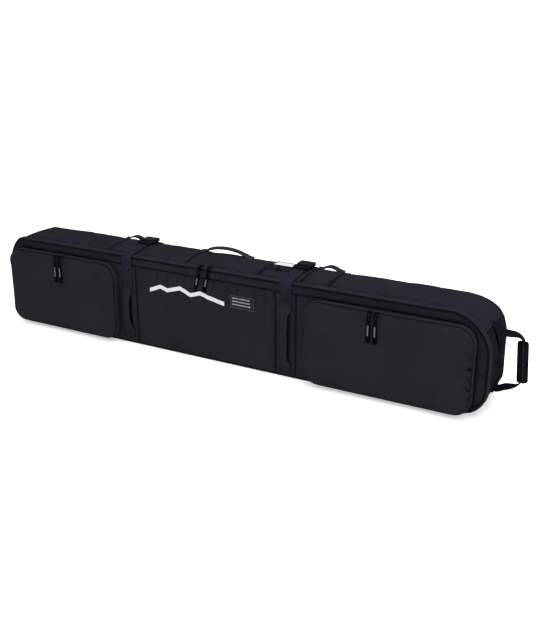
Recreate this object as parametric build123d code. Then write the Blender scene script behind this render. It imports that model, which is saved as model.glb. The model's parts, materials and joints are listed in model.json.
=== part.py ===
from build123d import *
import math
import os

# A wheeled snowboard travel bag, standing on its long edge. All sizes are in millimetres.
# X runs along the bag towards the tow handle, -Y is the pocket side and Z is up.
# The origin is the middle of the edge that the bag stands on.

# ---- Driving dimensions: padded body -----------------------------------------------------
HALF_LENGTH = 829.0
FRONT_Y = -85.0  # outer face of the front lid
BACK_Y = 126.0  # outer face of the back panel
EDGE_Z = 293.0  # height of the main zip
CROWN_Z = 304.5  # highest line of the soft top
CROWN_Y = 5.0
SHOULDER_Y = -66.0  # the top is flat from the zip to here, then rises to the crown
BROW_Y, BROW_Z = 60.0, 300.0  # the crown starts to fall away here
BACK_TOP_Z = 230.0  # the back panel is upright below this height
BACK_FOOT_R = 25.0
WALL = 8.0  # padded fabric wall
GAP = 0.4  # clearance between pieces that move apart
LID_INNER_Y = FRONT_Y + WALL
RIM_Y = LID_INNER_Y + GAP  # front rim of the tub that the lid closes
BACK_SEAM_Y = BACK_Y - WALL
LEFT_SEAM_X, RIGHT_SEAM_X = -700.0, 640.0  # seams between end, top and bottom panels
TOP_SEAMS = (-418.0, -123.0, 127.0, 266.0, 353.0)  # cross seams of the top
CORNER_SEAM_Z = 240.0  # the top's last length runs over the right corner down to here
MID_Z = 150.0
PLAN_R = 60.0  # rounding of the two upright back corners
FAR = 1200.0  # larger than the bag, for cutting blocks

# Corner ellipses of the long side: (half width, half height)
TOP_LEFT, TOP_RIGHT, FOOT = (95.0, 125.0), (160.0, 128.0), (95.0, 85.0)

# ---- Driving dimensions: zips, straps and buckles ----------------------------------------
TAPE = 1.2
TAPE_END_Z = 20.0  # the main zip ends this far above the ground at both ends
STRAP_XS = {"left": -331.0, "right": 231.0}
STRAP_W = 38.0
STRAP_T = 1.7
STRAP_FLOOR = 2.0  # the straps are let into the underside by this much
LID_STRAP_RISE = 1.6  # height of the lid's strap ends over the zip tapes
BUCKLE_Z = 307.0
BUCKLE_W = 48.0
PRONG_X, PRONG_W, PRONG_Y0, PRONG_Y1 = 16.0, 5.0, 27.5, 50.0
PRONG_PIVOT_Y = 28.5

# ---- Driving dimensions: pockets and their zips ------------------------------------------
POCKETS = {"left": (-803.0, -368.0), "right": (302.0, 791.0)}
POCKET_Z0, POCKET_Z1 = 10.0, 260.0
POCKET_FRONT_Y, POCKET_ZIP_Y = -126.0, -110.0
POCKET_R = 48.0
GUSSET_T, COVER_T = 4.0, 5.0
POCKET_SLIDERS = {"left": (-591.0, -571.0), "right": (504.0, 524.0)}
MAIN_SLIDERS = (-58.0, -26.0)
MAIN_PULL, POCKET_PULL = 80.0, 88.0

# ---- Driving dimensions: handles ---------------------------------------------------------
CENTRE_HANDLE = (-124.0, 38.0)
CENTRE_HANDLE_Y, CENTRE_HANDLE_TOP = 43.0, 325.0
HANDLE_ROD_R = 3.5
CENTRE_PIVOT_Z = 308.6
SIDE_HANDLES = [(-446.0, -361.0), (260.0, 345.0)]
SIDE_HANDLE_Y, SIDE_HANDLE_TOP, SIDE_HANDLE_W = 66.0, 310.0, 20.0
FRONT_HANDLES = {"left": (-333.0, 22.0, 208.0), "right": (231.5, 12.0, 240.0)}
FRONT_HANDLE_W, FRONT_HANDLE_BOW, WEB_T = 38.0, 16.0, 2.5
TOW_PIVOT_X, TOW_Y = 836.0, 8.0
TOW_TOP_Z, TOW_FOOT_Z, TOW_GRIP_X = 222.0, 62.0, 890.0
TOW_ROD_R = 4.0
GRIP_R, GRIP_BORE, GRIP_Z0, GRIP_Z1 = 17.0, 12.6, 93.0, 203.0

# ---- Driving dimensions: wheels ----------------------------------------------------------
WHEEL_X, WHEEL_Y, WHEEL_R, WHEEL_W = -812.0, 112.0, 38.0, 24.0
WHEEL_ZS = {"lower": 66.0, "upper": 206.0}
HUB_R, BUSH_R, AXLE_R = 27.0, 6.0, 4.0
RUNNING = 0.05  # radial clearance of a turning fit
WELL_R, WELL_HALF, WELL_WALL = 42.0, 15.0, 4.0
HOUSING = (-FAR, -748.0, 64.0, FAR, 24.0, 246.0)
HOUSING_SKIN, FLANGE_T, FLANGE_W = 3.5, 2.5, 18.0
BACK_RIVETS = [(-739.0, z) for z in (60.0, 135.0, 210.0)]
END_RIVETS = [(55.0, z) for z in (100.0, 135.0, 170.0)]
RIVET_R, RIVET_HEAD_R, RIVET_HEAD_T = 2.0, 5.0, 1.6


# ---- Helpers -----------------------------------------------------------------------------
def block(x0, x1, y0, y1, z0, z1):
    """Box between two corners."""
    centre = Pos((x0 + x1) / 2, (y0 + y1) / 2, (z0 + z1) / 2)
    return centre * Box(x1 - x0, y1 - y0, z1 - z0)


def along_x(face, x0, x1):
    """Extrude a face drawn in (Y, Z) from x0 to x1."""
    return Pos(x0, 0, 0) * extrude(Plane.YZ * face, amount=x1 - x0, dir=(1, 0, 0))


def along_y(face, y0, y1):
    """Extrude a face drawn in (X, Z) from y0 to y1."""
    return Pos(0, y0, 0) * extrude(Plane.XZ * face, amount=y1 - y0, dir=(0, 1, 0))


def rod_x(radius, x0, x1, y, z):
    """Cylinder along X."""
    return Pos((x0 + x1) / 2, y, z) * Rot(0, 90, 0) * Cylinder(radius, x1 - x0)


def rod_z(radius, x, y, z0, z1):
    """Cylinder along Z."""
    return Pos(x, y, (z0 + z1) / 2) * Cylinder(radius, z1 - z0)


# ---- Shape of the padded body ------------------------------------------------------------
def outline(grow=0.0):
    """Long side of the bag in (X, Z): flat top and foot joined by elliptical corners."""
    corners = (
        (HALF_LENGTH - TOP_RIGHT[0], CROWN_Z - TOP_RIGHT[1], TOP_RIGHT, 0),
        (TOP_LEFT[0] - HALF_LENGTH, CROWN_Z - TOP_LEFT[1], TOP_LEFT, 90),
        (FOOT[0] - HALF_LENGTH, FOOT[1], FOOT, 180),
        (HALF_LENGTH - FOOT[0], FOOT[1], FOOT, 270),
    )
    arcs = [
        EllipticalCenterArc((x, z), r[0] + grow, r[1] + grow, start_angle=a, arc_size=90)
        for x, z, r, a in corners
    ]
    joins = [Line(arcs[i] @ 1, arcs[(i + 1) % 4] @ 0) for i in range(4)]
    return make_face([edge for pair in zip(arcs, joins) for edge in pair])


def section(grow=0.0, floor=0.0):
    """Cross-section of the bag in (Y, Z): upright front, crowned top, rounded back foot."""
    foot = BACK_FOOT_R
    bend = foot * (1 - math.cos(math.radians(45)))
    edges = [
        Line((FRONT_Y, floor), (FRONT_Y, EDGE_Z)),
        Line((FRONT_Y, EDGE_Z), (SHOULDER_Y, EDGE_Z)),
        ThreePointArc((SHOULDER_Y, EDGE_Z), (CROWN_Y, CROWN_Z), (BROW_Y, BROW_Z)),
        ThreePointArc((BROW_Y, BROW_Z), (104.0, 278.0), (BACK_Y, BACK_TOP_Z)),
        Line((BACK_Y, BACK_TOP_Z), (BACK_Y, floor + foot)),
        ThreePointArc((BACK_Y, floor + foot), (BACK_Y - bend, floor + bend), (BACK_Y - foot, floor)),
        Line((BACK_Y - foot, floor), (FRONT_Y, floor)),
    ]
    face = make_face(edges)
    return offset(face, grow) if grow else face


def plan(grow=0.0):
    """Plan of the bag in (X, Y), with rounded back corners."""
    size_x = 2 * (HALF_LENGTH + grow)
    size_y = BACK_Y - FRONT_Y + 2 * grow
    face = Pos(0, (BACK_Y + FRONT_Y) / 2) * Rectangle(size_x, size_y)
    back_corners = face.vertices().group_by(Axis.Y)[-1]
    return fillet(back_corners, PLAN_R + grow)


def body(grow=0.0):
    """The bag's closed outer form, grown outwards or, when negative, inwards."""
    side = along_y(outline(grow), -FAR, FAR)
    cross = along_x(section(grow), -FAR, FAR)
    top = Pos(0, 0, -FAR) * extrude(plan(grow), amount=2 * FAR, dir=(0, 0, 1))
    return cross & side & top


def wrap(low, high, x0, x1, floor=0.0):
    """Band round the whole cross-section, from x0 to x1, between two heights over the fabric."""
    return along_x(section(high, floor), x0, x1) - along_x(section(low, floor), x0 - 1, x1 + 1)


def strap_span(side):
    """X limits of one compression strap."""
    return STRAP_XS[side] - STRAP_W / 2, STRAP_XS[side] + STRAP_W / 2


# ---- Tub: back, top, bottom and end panels -----------------------------------------------
def rivet_holes():
    """Holes for the rivets that hold the wheel housing."""
    back = [Pos(x, BACK_Y, z) * Rot(90, 0, 0) * Cylinder(RIVET_R, 60) for x, z in BACK_RIVETS]
    ends = [rod_x(RIVET_R, -HALF_LENGTH - 30, -HALF_LENGTH + 30, y, z) for y, z in END_RIVETS]
    return Compound(back + ends)


def strap_grooves():
    """Room for the two straps where they pass under the bag and round its back foot."""
    grooves = []
    for side in STRAP_XS:
        x0, x1 = strap_span(side)
        grooves.append(wrap(0.0, STRAP_FLOOR + 0.6, x0 - 0.5, x1 + 0.5, STRAP_FLOOR))
    return grooves


def top_panels(walls):
    """The six lengths of padded cloth that are sewn end to end along the top."""
    seams = (LEFT_SEAM_X, *TOP_SEAMS, RIGHT_SEAM_X)
    lengths = [walls & block(a, b, -FAR, FAR, MID_Z, FAR) for a, b in zip(seams, seams[1:])]
    lengths[-1] = lengths[-1] + (walls & block(RIGHT_SEAM_X, FAR, -FAR, FAR, CORNER_SEAM_Z, FAR))
    return lengths


def tub_panels():
    """The sewn panels behind the lid, with the wheel housing's corner cut away."""
    tub = (body() - body(-WALL)) & block(-FAR, FAR, RIM_Y, FAR, -FAR, FAR)
    tub = tub - block(*HOUSING) - rivet_holes()
    for groove in strap_grooves():
        tub = tub - groove
    before_back = block(-FAR, FAR, -FAR, BACK_SEAM_Y, -FAR, FAR)
    walls = tub & before_back
    return {
        "back_panel": tub - before_back,
        "left_end_panel": walls & block(-FAR, LEFT_SEAM_X, -FAR, FAR, -FAR, FAR),
        "right_end_panel": walls & block(RIGHT_SEAM_X, FAR, -FAR, FAR, -FAR, CORNER_SEAM_Z),
        "top_panels": top_panels(walls),
        "bottom_panel": walls & block(LEFT_SEAM_X, RIGHT_SEAM_X, -FAR, FAR, -FAR, MID_Z),
    }


def zip_tape(y0, y1):
    """One half of the main zip: a tape round the top and both ends."""
    outer = along_y(outline(TAPE), y0, y1) & block(-FAR, FAR, -FAR, FAR, TAPE_END_Z, EDGE_Z + TAPE)
    inner = along_y(outline(), y0 - 1, y1 + 1) & block(-FAR, FAR, -FAR, FAR, -FAR, EDGE_Z)
    return outer - inner


def back_battens():
    """Two flat stiffeners against the inside of the back panel."""
    y0, y1 = BACK_SEAM_Y - 3.5, BACK_SEAM_Y
    return [block(-640, 700, y0, y1, z - 15, z + 15) for z in (90, 210)]


def inner_straps():
    """Two tie-down straps across the inside of the back panel."""
    room = body(-WALL)
    return [block(x - 19, x + 19, 110, 111.5, -FAR, FAR) & room for x in (-420, 420)]


def inner_strap_buckles():
    """Ladder-lock frames on the tie-down straps."""
    frames = []
    for x in (-420, 420):
        frame = block(x - 25, x + 25, 107, 113.9, 132, 162)
        frames.append(frame - block(x - 19.3, x + 19.3, 109.7, 111.8, 0, FAR))
    return frames


def lid_panel():
    """Padded front panel, which the main zip frees on three sides."""
    return body() & block(-FAR, FAR, -FAR, LID_INNER_Y, -FAR, FAR)


def label_patch():
    """Small sewn label on the lid."""
    return block(50, 128, FRONT_Y - 1, FRONT_Y, 188, 226)


# ---- Identity window and the short zip beside it -----------------------------------------
def id_frame():
    """Sewn frame of the identity window on the crown."""
    frame = wrap(0.0, 1.6, 129, 205) & block(129, 205, 8, 62, MID_Z, FAR)
    return frame - block(134, 200, 13, 57, MID_Z, FAR)


def id_window():
    """Clear pane with its card, inside the frame."""
    return wrap(0.0, 0.9, 134, 200) & block(134, 200, 13, 57, MID_Z, FAR)


def document_zip():
    """Tape of the short zip in front of the identity window."""
    return wrap(0.0, 1.0, 131, 205) & block(131, 205, -22, -6, MID_Z, FAR)


def document_slider():
    """Slider of the short zip with its fixed tab."""
    foot = wrap(1.3, 3.6, 164, 174) & block(164, 174, -19, -9, MID_Z, FAR)
    tab = wrap(2.2, 3.6, 166, 172) & block(166, 172, -30, -19, MID_Z, FAR)
    return foot + tab


# ---- Compression straps and their buckles ------------------------------------------------
def lid_strap(side):
    """Upper strap end: sewn to the lid, it runs over the zip to the buckle."""
    x0, x1 = strap_span(side)
    low = 215 if side == "left" else 246
    band = wrap(LID_STRAP_RISE, LID_STRAP_RISE + STRAP_T, x0, x1)
    band = band & block(x0, x1, -FAR, -1.5, low, FAR)
    return band + block(x0, x1, FRONT_Y - LID_STRAP_RISE, FRONT_Y, low, low + 26)


def rear_strap(side):
    """Lower strap: from the front foot, under the bag and up the back to the crown."""
    x0, x1 = strap_span(side)
    band = wrap(0.3, 0.3 + STRAP_T, x0, x1, STRAP_FLOOR)
    band = band - block(-FAR, FAR, -FAR, RIM_Y, -FAR, FAR)
    return band - block(-FAR, FAR, -FAR, 30, MID_Z, FAR)


def buckle_frame(side):
    """Ladder-lock half of a side-release buckle, with its centre guide."""
    x, z = STRAP_XS[side], BUCKLE_Z
    half = BUCKLE_W / 2 - 1
    frame = block(x - half, x + half, 0, 27, z, z + 8)
    window = block(x - 19.5, x + 19.5, 5, 20, z - 1, z + 9)
    bar = rod_x(2, x - 20, x + 20, 11, z + 4.5)
    guide = block(x - 3, x + 3, 26, 46, z + 2.5, z + 5.5)
    return fillet(frame.edges().filter_by(Axis.Z), 3) - window + bar + guide


def buckle_prong(side, way):
    """Springy arm that is squeezed to free the buckle."""
    x, z = STRAP_XS[side] + way * PRONG_X, BUCKLE_Z
    arm = block(x - PRONG_W / 2, x + PRONG_W / 2, PRONG_Y0, PRONG_Y1, z + 1.7, z + 6.3)
    tip = arm.edges().filter_by(Axis.Z).group_by(Axis.Y)[-1]
    return fillet(tip, 2)


def buckle_socket(side):
    """Socket half of a side-release buckle, open at its mouth, sides and strap slot."""
    x, z = STRAP_XS[side], BUCKLE_Z
    half = BUCKLE_W / 2
    shell = block(x - half, x + half, 28, 62, z, z + 9.5)
    shell = fillet(shell.edges().filter_by(Axis.Z), 3)
    shell = shell - block(x - 19.3, x + 19.3, 27, 51, z + 1.3, z + 6.7)
    shell = shell - block(x - half - 1, x + half + 1, 36, 47, z + 1.3, z + 6.7)
    return shell - block(x - 19.5, x + 19.5, 53, 57.5, z - 1, z + 10)


# ---- Handles -----------------------------------------------------------------------------
def bow(half, base, top, thickness, foot=0.0):
    """Arched strip in (u, v): feet at u = +-half on v = base, crest at v = top."""
    outer = ThreePointArc((-half, base + thickness), (0, top), (half, base + thickness))
    inner = ThreePointArc((half, base), (0, top - thickness), (-half, base))
    strip = make_face([outer, Line(outer @ 1, inner @ 0), inner, Line(inner @ 1, outer @ 0)])
    for way in (-1, 1):
        if foot:
            pad = Pos(way * (half + foot / 2), base + thickness / 2) * Rectangle(foot, thickness)
            strip = strip + pad
    return strip


def front_handle(side):
    """Upright webbing handle on the lid, sewn down at both ends."""
    x, z0, z1 = FRONT_HANDLES[side]
    foot = 22.0
    profile = bow((z1 - z0) / 2 - foot, 0.0, FRONT_HANDLE_BOW, WEB_T, foot)
    upright = Plane(origin=(x, FRONT_Y, (z0 + z1) / 2), x_dir=(0, 0, 1), z_dir=(1, 0, 0))
    strip = extrude(upright * profile, amount=FRONT_HANDLE_W / 2, both=True)
    return strip


def side_handles():
    """Two short webbing handles across the back of the crown."""
    foot, feet_z = 12.0, 296.0
    y0, y1 = SIDE_HANDLE_Y - SIDE_HANDLE_W / 2, SIDE_HANDLE_Y + SIDE_HANDLE_W / 2
    handles = []
    for x0, x1 in SIDE_HANDLES:
        profile = bow((x1 - x0) / 2 - foot, feet_z, SIDE_HANDLE_TOP, WEB_T, foot)
        handles.append(Pos((x0 + x1) / 2, 0, 0) * along_y(profile, y0, y1) - body())
    return handles


def centre_handle():
    """Round grab handle that folds to either side about its two feet."""
    x0, x1 = CENTRE_HANDLE
    crest = CENTRE_HANDLE_TOP - HANDLE_ROD_R
    y, z = CENTRE_HANDLE_Y, CENTRE_PIVOT_Z
    path = ThreePointArc((x0, y, z), ((x0 + x1) / 2, y, crest), (x1, y, z))
    return sweep(Plane(origin=path @ 0, z_dir=path % 0) * Circle(HANDLE_ROD_R), path=path)


def centre_handle_tabs():
    """Sewn tabs under the feet of the grab handle."""
    y = CENTRE_HANDLE_Y
    tabs = []
    for x in CENTRE_HANDLE:
        slab = block(x - 14, x + 14, y - 12, y + 12, 298, CENTRE_PIVOT_Z - HANDLE_ROD_R - GAP)
        tabs.append(slab - body())
    return tabs


def tow_path():
    """Line of the tow webbing from its upper to its lower foot."""
    y, x = TOW_Y, TOW_GRIP_X
    points = [
        (TOW_PIVOT_X, y, TOW_TOP_Z),
        (x, y, TOW_TOP_Z),
        (x, y, TOW_FOOT_Z + 12),
        (TOW_PIVOT_X, y, TOW_FOOT_Z),
    ]
    return FilletPolyline(*points, radius=16)


def tow_handle():
    """Tow webbing: two arms and the flat band that the grip wraps."""
    path = tow_path()
    arms = sweep(Plane(origin=path @ 0, z_dir=path % 0) * Circle(TOW_ROD_R), path=path)
    band = block(TOW_GRIP_X - 2, TOW_GRIP_X + 2, TOW_Y - 12, TOW_Y + 12, GRIP_Z0, GRIP_Z1)
    return arms + band


def tow_grip():
    """Rolled sleeve round the tow webbing."""
    sleeve = rod_z(GRIP_R, TOW_GRIP_X, TOW_Y, GRIP_Z0, GRIP_Z1)
    return sleeve - rod_z(GRIP_BORE, TOW_GRIP_X, TOW_Y, GRIP_Z0 - 1, GRIP_Z1 + 1)


def tow_anchor():
    """Webbing patch down the right end with the two tabs that carry the tow handle."""
    y0, y1 = TOW_Y - 19, TOW_Y + 19
    patch = along_y(outline(2.0), y0, y1) - along_y(outline(), y0 - 1, y1 + 1)
    patch = patch & block(700, FAR, -FAR, FAR, 40, 250)
    face_x = TOW_PIVOT_X - TOW_ROD_R - GAP
    for z in (TOW_TOP_Z, TOW_FOOT_Z):
        patch = patch + (block(800, face_x, TOW_Y - 12, TOW_Y + 12, z - 8, z + 8) - body())
    return patch


# ---- Pockets -----------------------------------------------------------------------------
def pocket_face(side, inset=0.0):
    """Rounded outline of one pocket in (X, Z)."""
    x0, x1 = POCKETS[side]
    width, height = x1 - x0 - 2 * inset, POCKET_Z1 - POCKET_Z0 - 2 * inset
    face = RectangleRounded(width, height, POCKET_R - inset)
    return Pos((x0 + x1) / 2, (POCKET_Z0 + POCKET_Z1) / 2) * face


def pocket_gusset(side):
    """Side wall of a pocket, sewn to the lid."""
    outer = along_y(pocket_face(side), POCKET_ZIP_Y + GAP, FRONT_Y)
    return outer - along_y(pocket_face(side, GUSSET_T), POCKET_ZIP_Y, 0)


def pocket_cover(side):
    """Padded pocket front, freed by its zip on three sides and hinged along its foot."""
    solid = along_y(pocket_face(side), POCKET_FRONT_Y, POCKET_ZIP_Y)
    rim = solid.faces().sort_by(Axis.Y)[0].edges()
    solid = fillet(rim, 8)
    return solid - along_y(pocket_face(side, COVER_T), POCKET_FRONT_Y + COVER_T, 0)


# ---- Zip sliders and pulls ---------------------------------------------------------------
# Each slider is drawn by its X, the front edge of its plate and the height under it.
MAIN_SLIDE_Y, MAIN_SLIDE_Z = -84.0, EDGE_Z + TAPE + GAP
POCKET_SLIDE_Y, POCKET_SLIDE_Z = -124.0, POCKET_Z1 + GAP
BAR_AHEAD, BAR_RISE, BAR_R = 4.4, 1.6, 1.0
EYE_R, EYE_HALF = 2.9, 1.3


def slider(x, front_y, z):
    """Zip slider: a plate on the tape and a bar between two ears ahead of it."""
    plate = block(x - 5.5, x + 5.5, front_y, front_y + 13.4, z, z + 2.8)
    plate = fillet(plate.edges().filter_by(Axis.Z), 2)
    bar_y = front_y - BAR_AHEAD
    ears = [block(x + s - 0.9, x + s + 0.9, bar_y - 1.6, front_y + 2.5, z, z + 3.2) for s in (-2.6, 2.6)]
    bar = rod_x(BAR_R, x - 2.6, x + 2.6, bar_y, z + BAR_RISE)
    return plate + ears[0] + ears[1] + bar


def zip_pull(x, front_y, z, length):
    """Moulded pull: an eye round the slider's bar, a thin neck and a flat grip."""
    y, pivot_z = front_y - BAR_AHEAD, z + BAR_RISE
    low = pivot_z - length
    eye = rod_x(EYE_R, x - EYE_HALF, x + EYE_HALF, y, pivot_z)
    neck = block(x - EYE_HALF, x + EYE_HALF, y - 1.3, y + 1.3, low + 36, pivot_z - 2)
    grip = block(x - 4.5, x + 4.5, y - 2.4, y + 2.4, low, low + 40)
    grip = fillet(grip.edges().filter_by(Axis.Y), 3.5)
    hole = rod_x(BAR_R + RUNNING, x - 5, x + 5, y, pivot_z)
    return eye + neck + grip - hole


# ---- Wheels and their housing ------------------------------------------------------------
def wheel_hub(z):
    """Plastic hub with its running bore."""
    hub = rod_z(HUB_R, WHEEL_X, WHEEL_Y, z - WHEEL_W / 2, z + WHEEL_W / 2)
    return hub - rod_z(BUSH_R + RUNNING, WHEEL_X, WHEEL_Y, z - WHEEL_W, z + WHEEL_W)


def wheel_tyre(z):
    """Rounded tyre moulded on the hub."""
    tyre = rod_z(WHEEL_R, WHEEL_X, WHEEL_Y, z - WHEEL_W / 2, z + WHEEL_W / 2)
    tyre = fillet(tyre.edges().filter_by(GeomType.CIRCLE), 4)
    return tyre - rod_z(HUB_R, WHEEL_X, WHEEL_Y, z - WHEEL_W, z + WHEEL_W)


def wheel_axles():
    """Steel pins across the two wheel wells."""
    reach = WELL_HALF + WELL_WALL
    return [rod_z(AXLE_R, WHEEL_X, WHEEL_Y, z - reach, z + reach) for z in WHEEL_ZS.values()]


def wheel_bushes():
    """Fixed sleeves on the pins, on which the hubs turn."""
    bushes = []
    for z in WHEEL_ZS.values():
        sleeve = rod_z(BUSH_R, WHEEL_X, WHEEL_Y, z - WELL_HALF, z + WELL_HALF)
        bushes.append(sleeve - rod_z(AXLE_R, WHEEL_X, WHEEL_Y, z - WELL_HALF, z + WELL_HALF))
    return bushes


def wheel_housing():
    """Moulded corner shell with two wheel wells and a flange inside the fabric."""
    x0, x1, y0, y1, z0, z1 = HOUSING
    t, w = HOUSING_SKIN, FLANGE_W
    deep = body(-WALL - FLANGE_T)
    chunk = body() & block(*HOUSING)
    skin = chunk - body(-t)
    rim = (chunk - deep) - block(x0, x1 - t, y0 + t, y1, z0 + t, z1 - t)
    flange = (body(-WALL) - deep) & block(x0, x1 + w, y0 - w, y1, z0 - w, z1 + w)
    flange = flange - block(*HOUSING)
    shell = skin + rim + flange
    for z in WHEEL_ZS.values():
        reach = WELL_HALF + WELL_WALL
        well = rod_z(WELL_R + WELL_WALL, WHEEL_X, WHEEL_Y, z - reach, z + reach) & body()
        shell = shell + well
    for z in WHEEL_ZS.values():
        shell = shell - rod_z(WELL_R, WHEEL_X, WHEEL_Y, z - WELL_HALF, z + WELL_HALF)
        shell = shell - rod_z(AXLE_R, WHEEL_X, WHEEL_Y, z - WELL_HALF - 10, z + WELL_HALF + 10)
    return shell - rivet_holes()


def housing_rivets():
    """Six rivets through the padded wall and the housing's flange."""
    inside = WALL + FLANGE_T
    rivets = []
    for x, z in BACK_RIVETS:
        at = Pos(x, BACK_Y, z) * Rot(90, 0, 0)
        shank = at * Pos(0, 0, inside / 2) * Cylinder(RIVET_R, inside)
        head = at * Pos(0, 0, -RIVET_HEAD_T / 2) * Cylinder(RIVET_HEAD_R, RIVET_HEAD_T)
        tail = at * Pos(0, 0, inside + RIVET_HEAD_T / 2) * Cylinder(RIVET_HEAD_R, RIVET_HEAD_T)
        rivets.append(shank + head + tail)
    for y, z in END_RIVETS:
        x = -HALF_LENGTH
        shank = rod_x(RIVET_R, x, x + inside, y, z)
        head = rod_x(RIVET_HEAD_R, x - RIVET_HEAD_T, x, y, z)
        tail = rod_x(RIVET_HEAD_R, x + inside, x + inside + RIVET_HEAD_T, y, z)
        rivets.append(shank + head + tail)
    return rivets


# ---- Assembly ----------------------------------------------------------------------------
def build():
    """Every sub-part of the bag, by name."""
    parts = tub_panels()
    parts["body_zip_tape"] = zip_tape(RIM_Y, SHOULDER_Y - GAP)
    parts["lid_zip_tape"] = zip_tape(FRONT_Y, LID_INNER_Y - GAP)
    parts["back_battens"] = back_battens()
    parts["inner_straps"] = inner_straps()
    parts["inner_strap_buckles"] = inner_strap_buckles()
    parts["lid_panel"] = lid_panel()
    parts["label_patch"] = label_patch()
    parts["id_frame"] = id_frame()
    parts["id_window"] = id_window()
    parts["document_zip"] = document_zip()
    parts["document_slider"] = document_slider()
    parts["centre_handle"] = centre_handle()
    parts["centre_handle_tabs"] = centre_handle_tabs()
    parts["side_handles"] = side_handles()
    parts["tow_handle"] = tow_handle()
    parts["tow_grip"] = tow_grip()
    parts["tow_anchor"] = tow_anchor()
    for side in ("left", "right"):
        parts[f"{side}_lid_strap"] = lid_strap(side)
        parts[f"{side}_rear_strap"] = rear_strap(side)
        parts[f"{side}_buckle_frame"] = buckle_frame(side)
        parts[f"{side}_buckle_socket"] = buckle_socket(side)
        parts[f"{side}_buckle_prong_a"] = buckle_prong(side, -1)
        parts[f"{side}_buckle_prong_b"] = buckle_prong(side, 1)
        parts[f"{side}_front_handle"] = front_handle(side)
        parts[f"{side}_pocket_gusset"] = pocket_gusset(side)
        parts[f"{side}_pocket_cover"] = pocket_cover(side)
        for letter, x in zip("ab", POCKET_SLIDERS[side]):
            parts[f"{side}_pocket_slider_{letter}"] = slider(x, POCKET_SLIDE_Y, POCKET_SLIDE_Z)
            pull = zip_pull(x, POCKET_SLIDE_Y, POCKET_SLIDE_Z, POCKET_PULL)
            parts[f"{side}_pocket_pull_{letter}"] = pull
    for letter, x in zip("ab", MAIN_SLIDERS):
        parts[f"main_slider_{letter}"] = slider(x, MAIN_SLIDE_Y, MAIN_SLIDE_Z)
        parts[f"main_pull_{letter}"] = zip_pull(x, MAIN_SLIDE_Y, MAIN_SLIDE_Z, MAIN_PULL)
    for name, z in WHEEL_ZS.items():
        parts[f"{name}_wheel_hub"] = wheel_hub(z)
        parts[f"{name}_wheel_tyre"] = wheel_tyre(z)
    parts["wheel_axles"] = wheel_axles()
    parts["wheel_bushes"] = wheel_bushes()
    parts["wheel_housing"] = wheel_housing()
    parts["housing_rivets"] = housing_rivets()
    return parts


def write(parts):
    """One STEP file for each named sub-part."""
    os.makedirs("parts", exist_ok=True)
    for name, shape in parts.items():
        solids = shape if isinstance(shape, list) else [shape]
        solids = [solid for item in solids for solid in item.solids()]
        whole = solids[0] if len(solids) == 1 else Compound(children=solids)
        export_step(whole, f"parts/{name}.step")


write(build())
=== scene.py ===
import json
import math

import bmesh
import bpy
import numpy as np
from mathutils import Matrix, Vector

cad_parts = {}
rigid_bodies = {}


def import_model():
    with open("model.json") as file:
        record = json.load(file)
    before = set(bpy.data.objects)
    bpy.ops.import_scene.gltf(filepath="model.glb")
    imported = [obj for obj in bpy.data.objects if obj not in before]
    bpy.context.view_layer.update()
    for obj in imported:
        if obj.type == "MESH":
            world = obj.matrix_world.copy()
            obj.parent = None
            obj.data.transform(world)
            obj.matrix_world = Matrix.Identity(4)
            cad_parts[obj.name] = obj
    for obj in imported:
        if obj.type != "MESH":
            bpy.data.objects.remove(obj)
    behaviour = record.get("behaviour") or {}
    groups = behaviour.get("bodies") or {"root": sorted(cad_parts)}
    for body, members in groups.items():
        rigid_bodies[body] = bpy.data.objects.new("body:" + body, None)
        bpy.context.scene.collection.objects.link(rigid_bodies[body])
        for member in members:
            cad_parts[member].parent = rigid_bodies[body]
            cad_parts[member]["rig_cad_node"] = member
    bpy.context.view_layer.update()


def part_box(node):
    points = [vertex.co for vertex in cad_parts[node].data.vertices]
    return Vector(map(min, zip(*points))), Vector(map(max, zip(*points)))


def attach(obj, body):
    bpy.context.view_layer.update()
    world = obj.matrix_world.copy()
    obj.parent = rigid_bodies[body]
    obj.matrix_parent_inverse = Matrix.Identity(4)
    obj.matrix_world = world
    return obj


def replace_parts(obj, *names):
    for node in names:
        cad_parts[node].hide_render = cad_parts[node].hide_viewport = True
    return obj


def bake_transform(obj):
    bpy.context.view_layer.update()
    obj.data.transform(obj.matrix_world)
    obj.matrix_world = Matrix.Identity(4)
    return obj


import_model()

# ---- Driving dimensions, as the bag was designed -----------------------------------------
HALF, CROWN, EDGE = 0.829, 0.3045, 0.293  # half length, and the heights of the crest and of the lid's edge
TOP_LEFT, TOP_RIGHT, FOOT = (0.095, 0.125), (0.160, 0.128), (0.095, 0.085)  # corners, as (X, Z) radii
FRONT_Y, LID_BACK_Y, RIM_Y, SHOULDER_Y, BACK_Y = -0.085, -0.0774, -0.0766, -0.066, 0.126
BACK_TOP, FOOT_R, PLAN_R, WALL = 0.230, 0.025, 0.060, 0.008
TOP_SEAMS = (-0.700, -0.418, -0.123, 0.127, 0.266, 0.353)
CORNER_SEAM_Z, FOOT_SEAM_X = 0.240, 0.640
STRAPS = {"left": -0.331, "right": 0.231}
STRAP_HALF = 0.019
POCKET_R = 0.048
SINK = 0.0020  # the tub's cloth starts this far under the designed surface and swells back
CELL = 0.0085  # cloth cells before subdivision
EDGE_STEPS = (0.0, 0.0012, 0.0028, 0.0050, 0.0085)  # finer cells beside a sewn edge
SEAM_SHADE = 0.0027  # reach of the painted shade in the groove where two panels are sewn together


# ---- Curves ------------------------------------------------------------------------------
def unit(vectors):
    """Vectors scaled to length 1."""
    return vectors / np.maximum(np.linalg.norm(vectors, axis=-1, keepdims=True), 1e-12)


def points_at(x, y, z):
    """Points from three coordinates, each an array or one number."""
    return np.stack(np.broadcast_arrays(x, y, z), -1).astype(float)


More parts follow.
